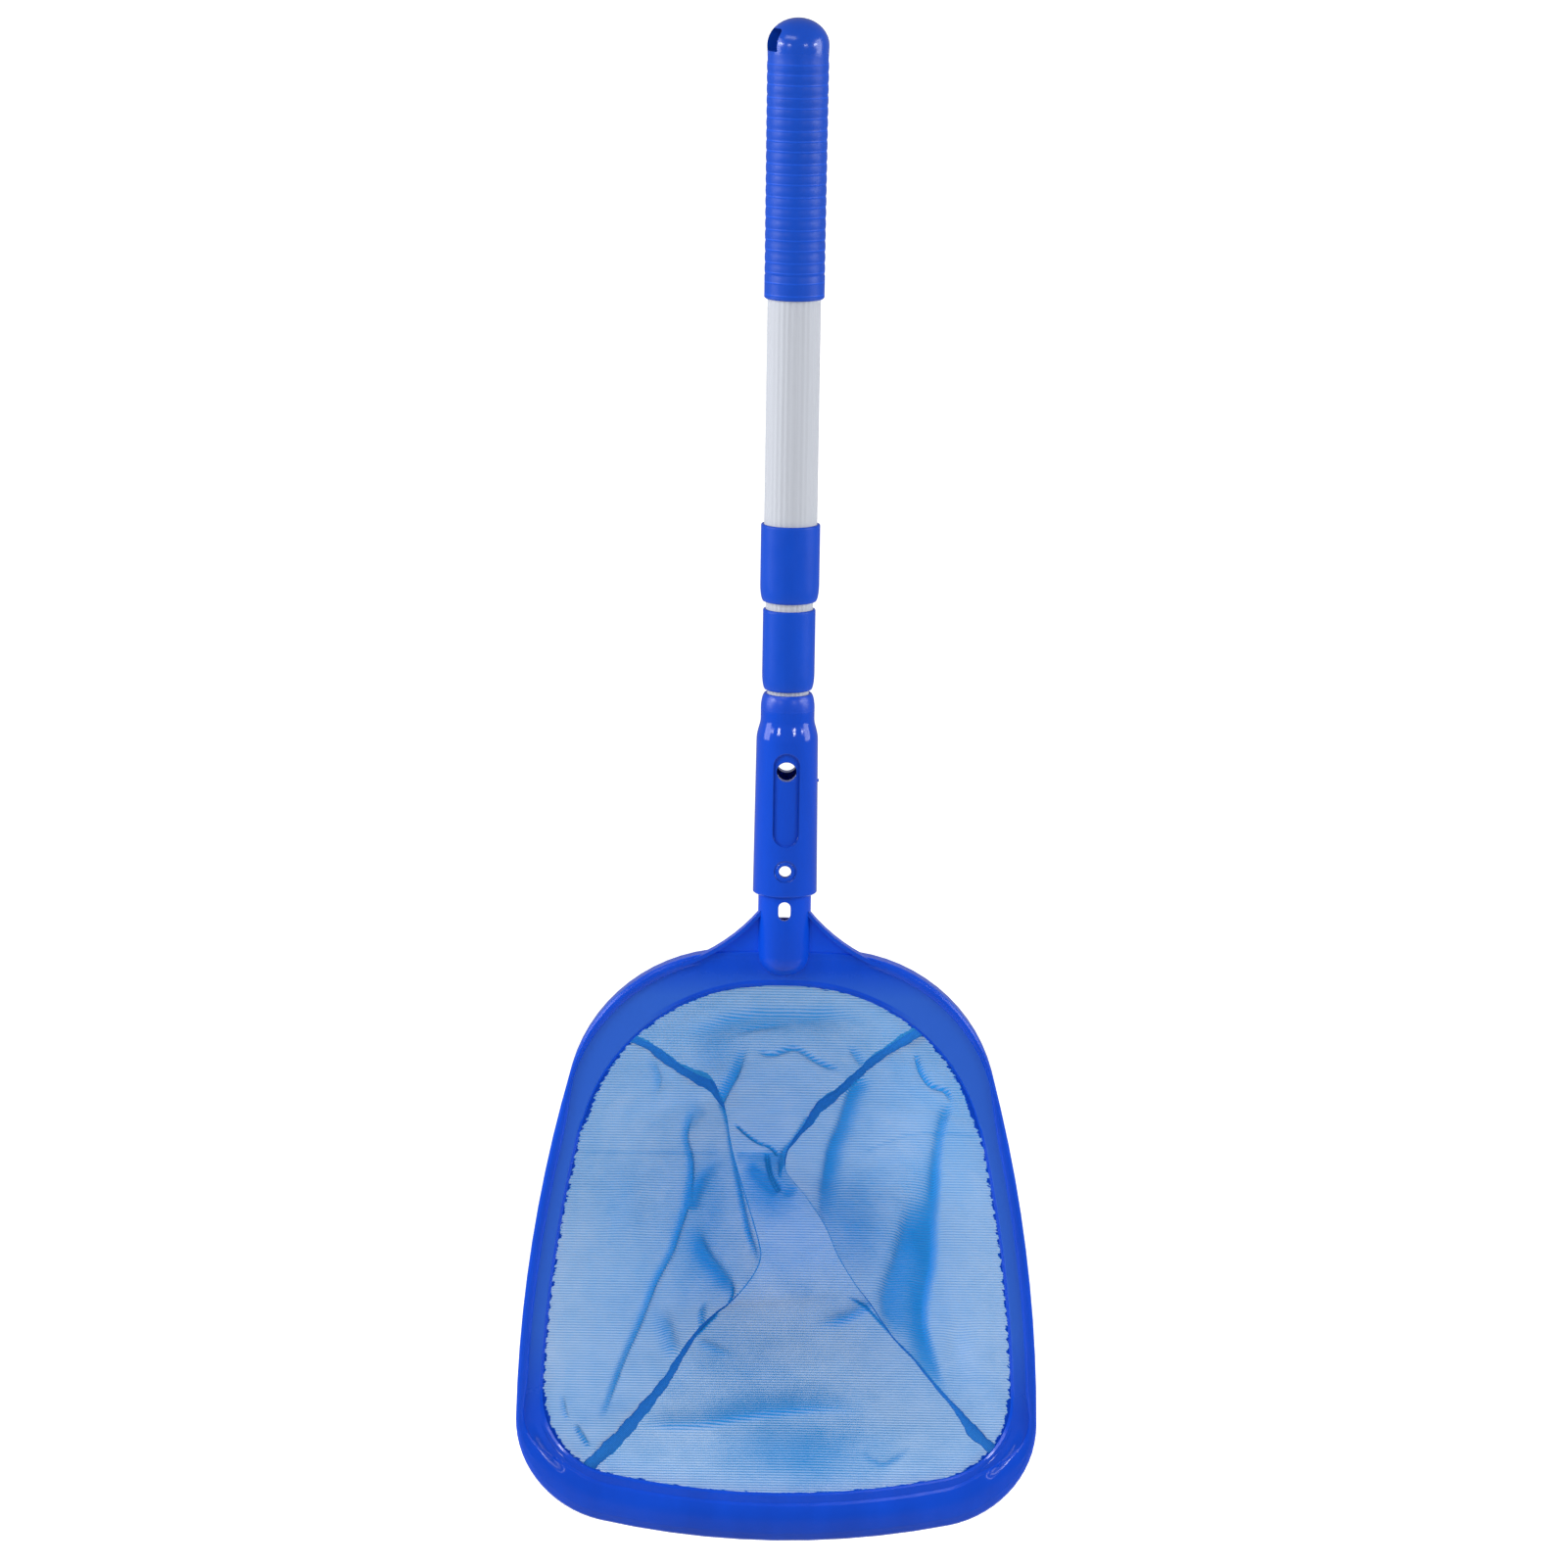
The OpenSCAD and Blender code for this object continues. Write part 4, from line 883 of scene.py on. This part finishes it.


# Folds with no height paint broad zones of shade and light only; the rest also paint shade where they crease
FOLDS = {
    "left": (
        Fold(1, (1.5, 1.4), (0.03, 0.2), 0.95, (-32.8, -563.6), (-29, -573.3), (-26.2, -588.4), (-21.6, -612.6),
            (-16.6, -635.9), (-11.7, -650), (-12.1, -657.6)),
        Fold(1.5, (1.3, 1.7), 0.12, 0.85, (-43.8, -563.8), (-49.4, -573.6), (-50.8, -584.4), (-48.1, -595.2),
            (-47.9, -608.2), (-50.3, -622.3), (-54.9, -637.6), (-58.4, -648.6), (-66.6, -665.1), (-74.8, -688.2),
            (-83, -708), (-91.2, -732.4), (-94.3, -744.5)),
        Fold(1.2, (3, 4.5), (0.3, 0.5), 0.35, (-39.5, -565.9), (-46.8, -573.6), (-49.8, -583.3)),
        Fold(1.6, (1.8, 4.2), (0.1, 0.6), 0.65, (-48.7, -624.5), (-43.2, -608.1), (-38, -601.5), (-28.7, -593.8)),
        Fold(1.8, (2.6, 5), (0.35, 0.3), 0.85, (-45.5, -628.8), (-41.7, -643.9), (-33.6, -655.8), (-26.7, -665.5),
            (-26, -676.4)),
        Fold(1, (0.7, 0.6), (0.3, 0.2), 1.4, (-26.7, -662.2), (-25, -669.8), (-27, -677.5), (-32.2, -682.5)),
        Fold(1.2, (1, 2.4), (0.2, 0.4), 0.7, (-41.6, -690.9), (-41.2, -679.4), (-37.1, -673.9)),
        Fold(2.2, 4.2, (0.5, 0.3), 0.5, (-63.4, -673.8), (-60, -690.1), (-54.5, -708.7)),
        Fold(1.2, (1.4, 2.4), 0.4, 0.4, (-72.2, -537.4), (-65.8, -550.2), (-67.3, -563.1)),
        Fold(1.2, 1.2, (0.4, 0.3), 0.35, (-116.1, -726.2), (-114.4, -737.1), (-111.2, -743.7)),
        Fold(1.6, 1.3, 0.3, 0.7, (-109.6, -743.7), (-104.8, -751.3), (-99.9, -759)),
        Fold(1.6, 9, 0.5, 0.15, (-82.1, -589.3), (-81.8, -621.8), (-89.3, -654.5)),
        Fold(0.25, 0.9, 0.1, 0.22, (-110.9, -593), (-71.6, -592.9), (-27.2, -592.2)),
        Fold(0, (13, 15), 0.35, 0.38, (-32.6, -580.4), (-38.9, -615.6), (-42.1, -653.8), (-43.3, -683.8)),
        Fold(0, (12, 14), 0.5, 0.22, (-95.5, -728.6), (-88.4, -745)),
        Fold(0, (22, 26), (0.35, 0.3), -0.3, (-117.6, -606.1), (-124.4, -677), (-122.8, -737.3)),
        Fold(0, 14, 0.4, -0.12, (-90.4, -543.6), (-82.4, -567.7), (-82, -605.5)),
    ),
    "right": (
        Fold(1.6, (5, 2.4), (0.08, 0.5), 1, (44.7, -547.3), (37.6, -558.2), (32.7, -574.4), (27.7, -587.5),
            (25.3, -601), (23.5, -615.7), (22.9, -642.9)),
        Fold(1.6, (1.8, 3.2), (0.15, 0.4), 0.75, (91.2, -561), (86.5, -574.6), (84.2, -591.9), (83.6, -612),
            (83, -630)),
        Fold(3, (2, 8.5), (0.4, 0.25), 1.1, (85, -580), (83.1, -610.9), (82.5, -634.3), (82.4, -651.7),
            (79.1, -670.3), (78.9, -685.6), (82.3, -700.9), (88, -717.3), (95.1, -730.3)),
        Fold(2.6, (9, 5), 0.3, 0.8, (74.2, -611), (65.5, -649.8), (59.6, -669.5), (62, -682.6), (70.7, -698.9)),
        Fold(1.5, (1.3, 0.9), (0.15, 0.2), 0.85, (70.6, -535), (73.9, -545.7), (79.3, -553.2), (87.7, -556.8),
            (91.5, -563.7)),
        Fold(0.3, 0.9, 0.1, 0.22, (43.4, -591), (72.5, -580.2), (108.1, -580.7)),
        Fold(1.8, 6, 0.5, 0, (100.2, -673.2), (97.1, -700.6), (101.4, -728)),
        Fold(0, (17, 15), 0.4, 0.45, (34.1, -592.8), (37.9, -630.7), (50, -663.1)),
        Fold(0, 12, 0.4, -0.3, (64.8, -559.9), (66.7, -603)),
        Fold(0, (26, 24), 0.3, -0.3, (103.1, -570), (112.6, -640.3), (115.2, -711.3), (101.5, -733.5)),
    ),
    "main": (
        Fold(0.8, (0.8, 0.6), 0.3, 1.3, (35.4, -669.9), (46.1, -676.3), (51.9, -681.7), (62.2, -693.5)),
        Fold(0.8, (0.7, 0.6), (0.2, 0.4), 1.3, (-31.2, -680.9), (-37.9, -687.6), (-46.2, -697.5)),
        Fold(2.4, (2.9, 1.7), (0.03, 0.5), 1, (-32.8, -564.7), (-28.7, -556), (-24.1, -547.3), (-18.6, -530.1)),
        Fold(1.5, (0.9, 1.5), (0.15, 0.2), 0.7, (-14.9, -534.8), (-5.5, -537.4), (6.9, -533.9), (19.6, -541.2),
            (33.2, -546.4)),
        Fold(2.2, (3.5, 7), 0.3, 0.45, (-55.6, -532.8), (-39.1, -524), (-25.6, -518.4), (-10, -516), (5.6, -516.3),
            (23.8, -515.4), (37.9, -517.9), (44.3, -523.7)),
        Fold(1.2, (1.8, 2.4), (0.3, 0.5), 0.3, (-28.1, -525.9), (-9.9, -521.3), (8.3, -519.4)),
        Fold(1.2, (2.2, 1.4), (0.4, 0.1), 0.5, (35, -531.3), (43.1, -543.5)),
        Fold(1.6, (0.5, 0.6), (0.12, 0.05), 1.5, (-25.3, -575.9), (-14.2, -584.9), (-5.8, -588.6), (-0.5, -593.3)),
        Fold(2.6, (0.8, 1.3), (0.2, 0.12), 1.25, (-7.3, -590.2), (-5, -603.2), (0.4, -613.4)),
        Fold(1.2, 0.7, (0.2, 0.4), 1.15, (2.6, -590), (0.2, -599.8), (-0.2, -607.4)),
        Fold(1.2, (2.2, 4), (0.25, 0.1), 0.75, (-18.2, -595.8), (-9.7, -605.4), (0.4, -613.4)),
        Fold(0.5, (0.8, 4.5), (0.1, 0.2), 0.5, (-24.5, -592.7), (1.6, -592.2)),
        Fold(1, 2.2, (0.3, 0.4), 0.5, (1.4, -611.7), (5.1, -613.8), (8.1, -608.4)),
        Fold(1, (2.4, 1.2), (0.05, 0.2), 0.9, (14.9, -571.5), (7.7, -583.5), (0.6, -593.3), (0.2, -602)),
        Fold(2, (10, 2), (0.15, 0.4), 0.6, (-74.2, -743.1), (-55.2, -745), (-38.3, -743.6), (-22.5, -740),
            (3.9, -735.7), (30.2, -733.6), (56.7, -735.4)),
        Fold(1.5, 15, 0.5, 0.6, (-48.7, -757), (-6.4, -757.4), (30.6, -757.9), (72.8, -751.7)),
        Fold(1, 2.4, (0.3, 0.5), 0.3, (-45.2, -695.3), (-32.5, -701.7), (-21.9, -705.4)),
        Fold(2, (4.5, 2), (0.5, 0.05), 0.5, (17.8, -687.7), (34.6, -684.1), (45.1, -678.5), (51.8, -674)),
        Fold(0.9, 1.2, (0.3, 0.4), 0.5, (44.4, -756.5), (55.6, -764.6), (63.5, -762.3), (74.9, -752.2)),
        Fold(0.25, 0.9, 0.1, 0.22, (-55.9, -592.6), (-24.6, -592.1)),
        Fold(0.25, 0.9, 0.1, 0.22, (0, -591.7), (43.4, -591)),
        Fold(0, (16, 15), (0.35, 0.5), 0.6, (-15.2, -589.3), (-6, -607), (2.3, -637.8)),
        Fold(0, (14, 12), (0.3, 0.4), -0.15, (2.7, -663.9), (-7.4, -685.9)),
        Fold(0, 12, (0.3, 0.4), -0.25, (-49.1, -725), (-53.9, -758.2)),
        Fold(0, 12, 0.4, 0.25, (-51.4, -534.9), (-30.5, -538.9), (-20, -542.4)),
        Fold(0, 14, 0.4, 0.2, (-54.8, -684), (-17.6, -710.8), (19.3, -710.2)),
    ),
}
# A fold's bunched cloth is a little wider than the fold
BUNCH_SPREAD = 1.15
# Shares of the panel over which its folds rise from its edges, and from the first edge across it
FOLD_FOOT, SEAM_FOOT = 1 / 12, 1 / 30
# How much cloth that a fold stretches deepens in colour
STRETCH_TONE = 0.25
# How far a fold shifts the rows of each panel's mesh, as a share of its height
ROW_SHIFT = {"left": -0.7, "right": 0.7, "main": 0.0}
# How much further the plastic has run into the mesh where the hem runs level, in millimetres
LEVEL_SOAK = 1.2


def fold_fields(panel, x, z):
    """Height of the folds, how much their cloth is bunched with their painted shade and light, and how sharply it is
    creased, which paints shade in the crease.
    """
    height, bunch, painted_crease_shade = (np.zeros(x.shape) for _ in range(3))
    for fold in FOLDS[panel]:
        signed, share = along_path(x, z, fold.path)
        ends = ease(share / fold.fades[0]) * ease((1 - share) / fold.fades[1])
        wide = np.where(signed > 0, *fold.widths)
        height += fold.rise * ends * np.exp(-((signed / wide) ** 2))
        near = ends * np.exp(-((signed / (BUNCH_SPREAD * wide)) ** 2))
        bunch += min(fold.bunch, 1.0) * near
        painted_crease_shade += max(fold.bunch - 1.0, 0.0) * near
    return height, np.clip(bunch, -1, 1), np.clip(painted_crease_shade, 0, 1)


def grid_cross(grid):
    """Product of the steps down and across a grid, at each point."""
    return np.cross(np.gradient(grid, axis=0), np.gradient(grid, axis=1))


def across_sheet(grid):
    """Unit normal at each point of a grid, towards the mouth, and the area that the point stands for."""
    normal = grid_cross(grid)
    size = np.linalg.norm(normal, axis=2, keepdims=True)
    normal /= np.maximum(size, 1e-9)
    return normal * np.where(normal[..., 1:2] > 0, -1.0, 1.0), size[..., 0]


def folded_panel(panel, base, seen_x, seen_z):
    """The panel with its folds, how much its cloth is bunched with the folds' painted shade and light, and how far it
    is lifted at each point.
    """
    normal, flat = across_sheet(base)
    lift, bunch, painted_crease_shade = fold_fields(panel, seen_x, seen_z)
    rows, cols = seen_x.shape
    t, u = np.linspace(0, 1, rows)[:, None], np.linspace(0, 1, cols)[None, :]
    held = ease(t / FOLD_FOOT) * ease((1 - t) / FOLD_FOOT) * ease(u / SEAM_FOOT) * ease((1 - u) / FOLD_FOOT)
    lift *= sizes().fold_share * held
    grid = base + normal * lift[..., None]
    _, now = across_sheet(grid)
    stretched = np.clip(now / np.maximum(flat, 1e-9) - 1.0, 0, 2)
    return grid, np.clip(STRETCH_TONE * stretched + bunch, -1, 1) + painted_crease_shade, lift


def hem_distance(x, z):
    """How far points of the hem's plane lie from the hem, with a little more where the hem runs level."""
    angles = np.linspace(-179.5, 180.0, 720)
    hem = np.array([hem_point(a)[[0, 2]] for a in angles])
    level = LEVEL_SOAK * (1 - np.abs(np.sin(np.radians(angles))))
    return np.array([
        (np.hypot(x_row[:, None] - hem[:, 0], z_row[:, None] - hem[:, 1]) + level).min(axis=1)
        for x_row, z_row in zip(x, z)
    ])


def lay_cloth_map(piece, across, down):
    """Writes each point's place on the cloth, in metres, to the piece's map."""
    index = np.array([loop.vertex_index for loop in piece.data.loops])
    flat = np.stack([across.reshape(-1)[index], down.reshape(-1)[index]], axis=1)
    piece.data.uv_layers.new(name=CLOTH_MAP).data.foreach_set("uv", flat.reshape(-1))


def sew_panel(panel, base, material):
    """A panel of the bag as a hung sheet of mesh."""
    seen_x, seen_z = seen(base)
    grid, gather, lift = folded_panel(panel, base, seen_x, seen_z)
    rows, cols, _ = grid.shape
    faces = grid_quads(rows, cols)
    # The faces' fronts are the inside of the bag
    if grid_cross(base)[..., 1].mean() < 0:
        faces = [face[::-1] for face in faces]
    piece = new_piece("bag_" + panel, grid.reshape(-1, 3) * MM, faces, material, "net_head")
    # The rows of the mesh run level across the net, and shift where a fold takes up cloth
    across = np.linalg.norm(np.diff(grid, axis=1), axis=2).cumsum(axis=1)
    across = np.hstack([np.zeros((rows, 1)), across])
    lay_cloth_map(piece, across * MM, -(seen_z + ROW_SHIFT[panel] * lift) * MM)
    for label, values in (("gather", gather), ("hem", hem_distance(seen_x, seen_z))):
        field = piece.data.attributes.new(label, "FLOAT", "POINT")
        field.data.foreach_set("value", values.reshape(-1).astype(np.float32))
    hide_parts(panel + "_panel")


# ---- Seam tape

# Each tape's seen width as a share of its whole width, by distance down the net
TAPE_SHARE = {
    "left": (
        [520, 534, 540, 545, 550, 553, 557, 562, 571, 591, 618, 641, 652, 664, 676, 681, 693, 709, 717, 727,
         736, 744, 753, 761, 768],
        [0.89, 0.89, 0.97, 1.03, 1.21, 1.45, 1.04, 0.6, 0.13, 0.13, 0.13, 0.13, 0.13, 0.13, 0.13, 0.26, 0.4,
         0.7, 0.83, 0.99, 1.2, 1.28, 1.41, 1.41, 1.2],
    ),
    "right": (
        [520, 525, 532, 539, 543, 549, 557, 562, 567, 575, 580, 586, 592, 603, 616, 632, 649, 663, 674, 685,
         694, 705, 713, 722, 728, 734, 740, 746, 751, 768],
        [1.19, 1.19, 1.05, 0.93, 0.87, 0.87, 0.93, 1.11, 1.11, 0.75, 0.5, 0.31, 0.15, 0.09, 0.09, 0.09, 0.09,
         0.09, 0.12, 0.16, 0.2, 0.26, 0.3, 0.36, 0.44, 0.55, 0.97, 1.25, 1.13, 0.96],
    ),
}
# How far each tape has sunk behind the mesh, likewise
TAPE_SINK = {
    "left": ([565, 580, 660, 672], [0, 1.5, 1.5, 0]),
    "right": ([598, 606, 655, 668], [0, 3, 3, 0]),
}
# Waves in a tape's width: how fast they run down the net, and their share of the width
TAPE_WAVES = ((0.55, 0.1), (1.37, 0.06))
# The tape's section: side as a share of half its width, and thickness in millimetres
TAPE_SECTION = (
    (-1, 0), (-0.85, 0.42), (0, 0.55), (0.85, 0.42), (1, 0), (0.85, -0.42), (0, -0.55), (-0.85, -0.42)
)


def tape_piece(side, material):
    """Binding tape along a seam: broad where it lies flat, narrow where it is seen on edge."""
    path = seam(side)[1:-1]
    count, cols = len(path), len(TAPE_SECTION)
    tangent = np.gradient(path, axis=0)
    tangent /= np.linalg.norm(tangent, axis=1, keepdims=True)
    across = np.cross(tangent, np.array(BACKWARD))
    across /= np.linalg.norm(across, axis=1, keepdims=True)
    thick = np.cross(tangent, across)
    down = -seen(path)[1]
    uneven = 1.0 + sum(size * np.sin(pace * down) for pace, size in TAPE_WAVES)
    share = (np.interp(down, *TAPE_SHARE[side]) * uneven)[:, None]
    path = path + np.array([0.0, 1.0, 0.0]) * np.interp(down, *TAPE_SINK[side])[:, None]
    half = sizes().tape_width / MM / 2
    rings = [path + across * (half * a * share) + thick * (b * np.minimum(1.0, 2 * share)) for a, b in TAPE_SECTION]
    faces = grid_quads(count, cols, wrap=True)
    faces.append(tuple(range(cols - 1, -1, -1)))
    faces.append(tuple((count - 1) * cols + k for k in range(cols)))
    points = np.stack(rings, axis=1).reshape(-1, 3) * MM
    piece = new_piece(side + "_binding", points, faces, material, "net_head")
    flat_across = np.tile([a * half for a, _ in TAPE_SECTION], (count, 1))
    flat_down = np.tile(travelled(path)[:, None], (1, cols))
    lay_cloth_map(piece, flat_across * MM, flat_down * MM)
    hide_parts(side + "_seam_tape")


# ---- Stage

LENS_MM, SENSOR_MM = 134.9, 36.0
CLIP_END = 50.0
FLOOR_REACH = 30.0
# Lamps: name, angle round the net from the camera, angle above it, glow of the face, width and height.
# A broad soft box and a bright window stand on each side, a small window nearer the camera, a soft box hangs
# overhead and a weak one stands behind.
BACK_LAMP = "softbox_back"
LAMPS = (
    ("softbox_left", -84.0, 16.0, 0.29, 0.9, 1.2),
    ("softbox_right", 84.0, 16.0, 0.28, 0.9, 1.2),
    ("window_left", -68.0, 19.0, 1.55, 0.5, 0.22),
    ("window_right", 66.0, 19.0, 1.4, 0.42, 0.22),
    ("fill_left", -34.0, 18.0, 1.5, 0.3, 0.12),
    ("fill_right", 29.0, 18.0, 1.5, 0.3, 0.12),
    ("overhead", -35.0, 48.0, 0.24, 1.2, 0.4),
    (BACK_LAMP, 180.0, 10.0, 0.19, 1.6, 1.2),
)
LAMP_CENTRE = Vector((0.0, 0.0, -0.39))
LAMP_DISTANCE = 1.9


def place_camera(scene):
    camera = bpy.data.objects.new("camera", bpy.data.cameras.new("camera"))
    scene.collection.objects.link(camera)
    camera.data.lens = LENS_MM
    camera.data.sensor_width = SENSOR_MM
    camera.data.clip_end = CLIP_END
    right = Vector((1.0, 0.0, 0.0))
    up = BACKWARD.cross(right)
    rolled_right = right * math.cos(VIEW_ROLL) + up * math.sin(VIEW_ROLL)
    rolled_up = up * math.cos(VIEW_ROLL) - right * math.sin(VIEW_ROLL)
    turn = Matrix((rolled_right, rolled_up, BACKWARD)).transposed()
    camera.matrix_world = Matrix.Translation(EYE * MM) @ turn.to_4x4()
    scene.camera = camera


def lay_floor(scene):
    level = CAD_BOX[0][2] - light().floor_drop
    corners = [(x * FLOOR_REACH, y * FLOOR_REACH, level) for x, y in ((-1, -1), (1, -1), (1, 1), (-1, 1))]
    mesh = bpy.data.meshes.new("floor")
    mesh.from_pydata(corners, [], [(0, 1, 2, 3)])
    mesh.materials.append(plain_floor("pale_floor", paint("floor")))
    floor = bpy.data.objects.new("floor", mesh)
    scene.collection.objects.link(floor)


def hang_lamps(scene):
    for name, angle, lift, glow, width, height in LAMPS:
        lamp = bpy.data.lights.new(name, "AREA")
        lamp.shape = "RECTANGLE"
        lamp.size, lamp.size_y = width, height
        lamp.energy = light().lamp * glow * math.pi * width * height
        box = bpy.data.objects.new(name, lamp)
        scene.collection.objects.link(box)
        turn, rise = math.radians(angle), math.radians(lift)
        level = math.cos(rise)
        towards = Vector((math.sin(turn) * level, -math.cos(turn) * level, math.sin(rise)))
        box.location = LAMP_CENTRE + towards * LAMP_DISTANCE
        box.rotation_mode = "QUATERNION"
        box.rotation_quaternion = towards.to_track_quat("Z", "Y")
        # The light from behind would otherwise glint along the holes
        box.visible_glossy = name != BACK_LAMP


def light_room(scene):
    """An even white room, brighter to the camera and through clear gaps than as light."""
    scene.world = bpy.data.worlds.new("room")
    scene.world.use_nodes = True
    tree = scene.world.node_tree
    background = tree.nodes["Background"]
    background.inputs["Color"].default_value = (1.0, 1.0, 1.0, 1.0)
    rays = add_node(tree, "ShaderNodeLightPath").node.outputs
    straight = {0: rays["Is Camera Ray"], 1: rays["Is Transmission Ray"]}
    shown = add_node(tree, "ShaderNodeMath", straight, operation="MAXIMUM")
    strength = add_node(tree, "ShaderNodeMapRange", {"Value": shown, "To Min": light().ambient, "To Max": 1.0})
    tree.links.new(strength, background.inputs["Strength"])


# ---- Operators


class LEAFNET_OT_set_stage(bpy.types.Operator):
    """Set the camera, the lamps, the room's light and the floor"""

    bl_idname = "leafnet.set_stage"
    bl_label = "Set Stage"

    def execute(self, context):
        for part in (place_camera, lay_floor, hang_lamps, light_room):
            part(context.scene)
        context.scene.view_settings.view_transform = "Standard"
        return {"FINISHED"}


class LEAFNET_OT_dress_grip(bpy.types.Operator):
    """Finish the hand grip"""

    bl_idname = "leafnet.dress_grip"
    bl_label = "Dress Grip"

    def execute(self, context):
        dress("hand_grip", ringed_plastic("grip_satin", paint("grip"), 0.4), GRIP_ANGLE)
        return {"FINISHED"}


class LEAFNET_OT_dress_pole(bpy.types.Operator):
    """Draw the three fluted tubes and finish the twist-lock collars"""

    bl_idname = "leafnet.dress_pole"
    bl_label = "Dress Pole"

    def execute(self, context):
        metal = brushed_aluminium("anodised_tube", paint("tube"))
        for section in ("outer", "middle", "inner"):
            fluted_tube(section + "_tube", section + "_section", metal)
        plastic = moulded_plastic("collar_satin", paint("collar"), 0.36, specular=0.2, edge=1.2 * MM).material
        for section in ("outer", "middle"):
            dress(section + "_collar", plastic)
        return {"FINISHED"}


class LEAFNET_OT_dress_locks(bpy.types.Operator):
    """Finish the cams, plugs, caps and screws inside the pole"""

    bl_idname = "leafnet.dress_locks"
    bl_label = "Dress Locks"

    def execute(self, context):
        plastic = moulded_plastic("lock_natural", paint("lock"), 0.42).material
        steel = plated_steel("screw_zinc", paint("screw"))
        for lock in ("middle_lock", "inner_lock"):
            for part in ("cam", "plug", "cap"):
                dress(f"{lock}_{part}", plastic)
            dress(f"{lock}_screw", steel)
        return {"FINISHED"}


class LEAFNET_OT_dress_connector(bpy.types.Operator):
    """Finish the connector that joins the pole to the net"""

    bl_idname = "leafnet.dress_connector"
    bl_label = "Dress Connector"

    def execute(self, context):
        dress("pole_connector", connector_plastic("connector_gloss", paint("connector"), 0.1))
        return {"FINISHED"}


class LEAFNET_OT_dress_frame(bpy.types.Operator):
    """Finish the net frame"""

    bl_idname = "leafnet.dress_frame"
    bl_label = "Dress Frame"

    def execute(self, context):
        dress("net_frame", two_tone_plastic("frame_gloss", paint("hoop"), paint("ring_face_sheen"), 0.2))
        return {"FINISHED"}


class LEAFNET_OT_sew_bag(bpy.types.Operator):
    """Sew the bag from its three mesh panels"""

    bl_idname = "leafnet.sew_bag"
    bl_label = "Sew Bag"

    def execute(self, context):
        tones = (paint("mesh"), paint("bunched"), shade(paint("hoop"), 1.1))
        mesh = knitted_mesh("bag_mesh", *tones, sizes().cover, sizes().weave_pitch)
        sew_panel("main", main_base(), mesh)
        for side in ("left", "right"):
            sew_panel(side, side_base(side), mesh)
        return {"FINISHED"}


class LEAFNET_OT_bind_seams(bpy.types.Operator):
    """Bind the bag's two seams with tape"""

    bl_idname = "leafnet.bind_seams"
    bl_label = "Bind Seams"

    def execute(self, context):
        tape = woven_tape("seam_binding", paint("tape"), 0.9 * MM)
        for side in ("left", "right"):
            tape_piece(side, tape)
        return {"FINISHED"}


STEPS = (
    LEAFNET_OT_set_stage,
    LEAFNET_OT_dress_grip,
    LEAFNET_OT_dress_pole,
    LEAFNET_OT_dress_locks,
    LEAFNET_OT_dress_connector,
    LEAFNET_OT_dress_frame,
    LEAFNET_OT_sew_bag,
    LEAFNET_OT_bind_seams,
)


class LEAFNET_PT_panel(bpy.types.Panel):
    """Lists the steps that dress the leaf net"""

    bl_idname = "LEAFNET_PT_panel"
    bl_label = "Leaf Net"
    bl_space_type = "VIEW_3D"
    bl_region_type = "UI"
    bl_category = "Leaf Net"

    def draw(self, context):
        column = self.layout.column(align=True)
        for step in STEPS:
            column.operator(step.bl_idname)


GROUPS = {
    "leafnet_colours": LEAFNET_PG_colours,
    "leafnet_sizes": LEAFNET_PG_sizes,
    "leafnet_light": LEAFNET_PG_light,
}


def register():
    for name, group in GROUPS.items():
        bpy.utils.register_class(group)
        setattr(bpy.types.Scene, name, bpy.props.PointerProperty(type=group))
    for shown in (*STEPS, LEAFNET_PT_panel):
        bpy.utils.register_class(shown)


def unregister():
    for shown in (LEAFNET_PT_panel, *reversed(STEPS)):
        bpy.utils.unregister_class(shown)
    for name, group in GROUPS.items():
        delattr(bpy.types.Scene, name)
        bpy.utils.unregister_class(group)


def main():
    register()
    for step in STEPS:
        area, name = step.bl_idname.split(".")
        getattr(getattr(bpy.ops, area), name)()


if __name__ == "__main__":
    main()
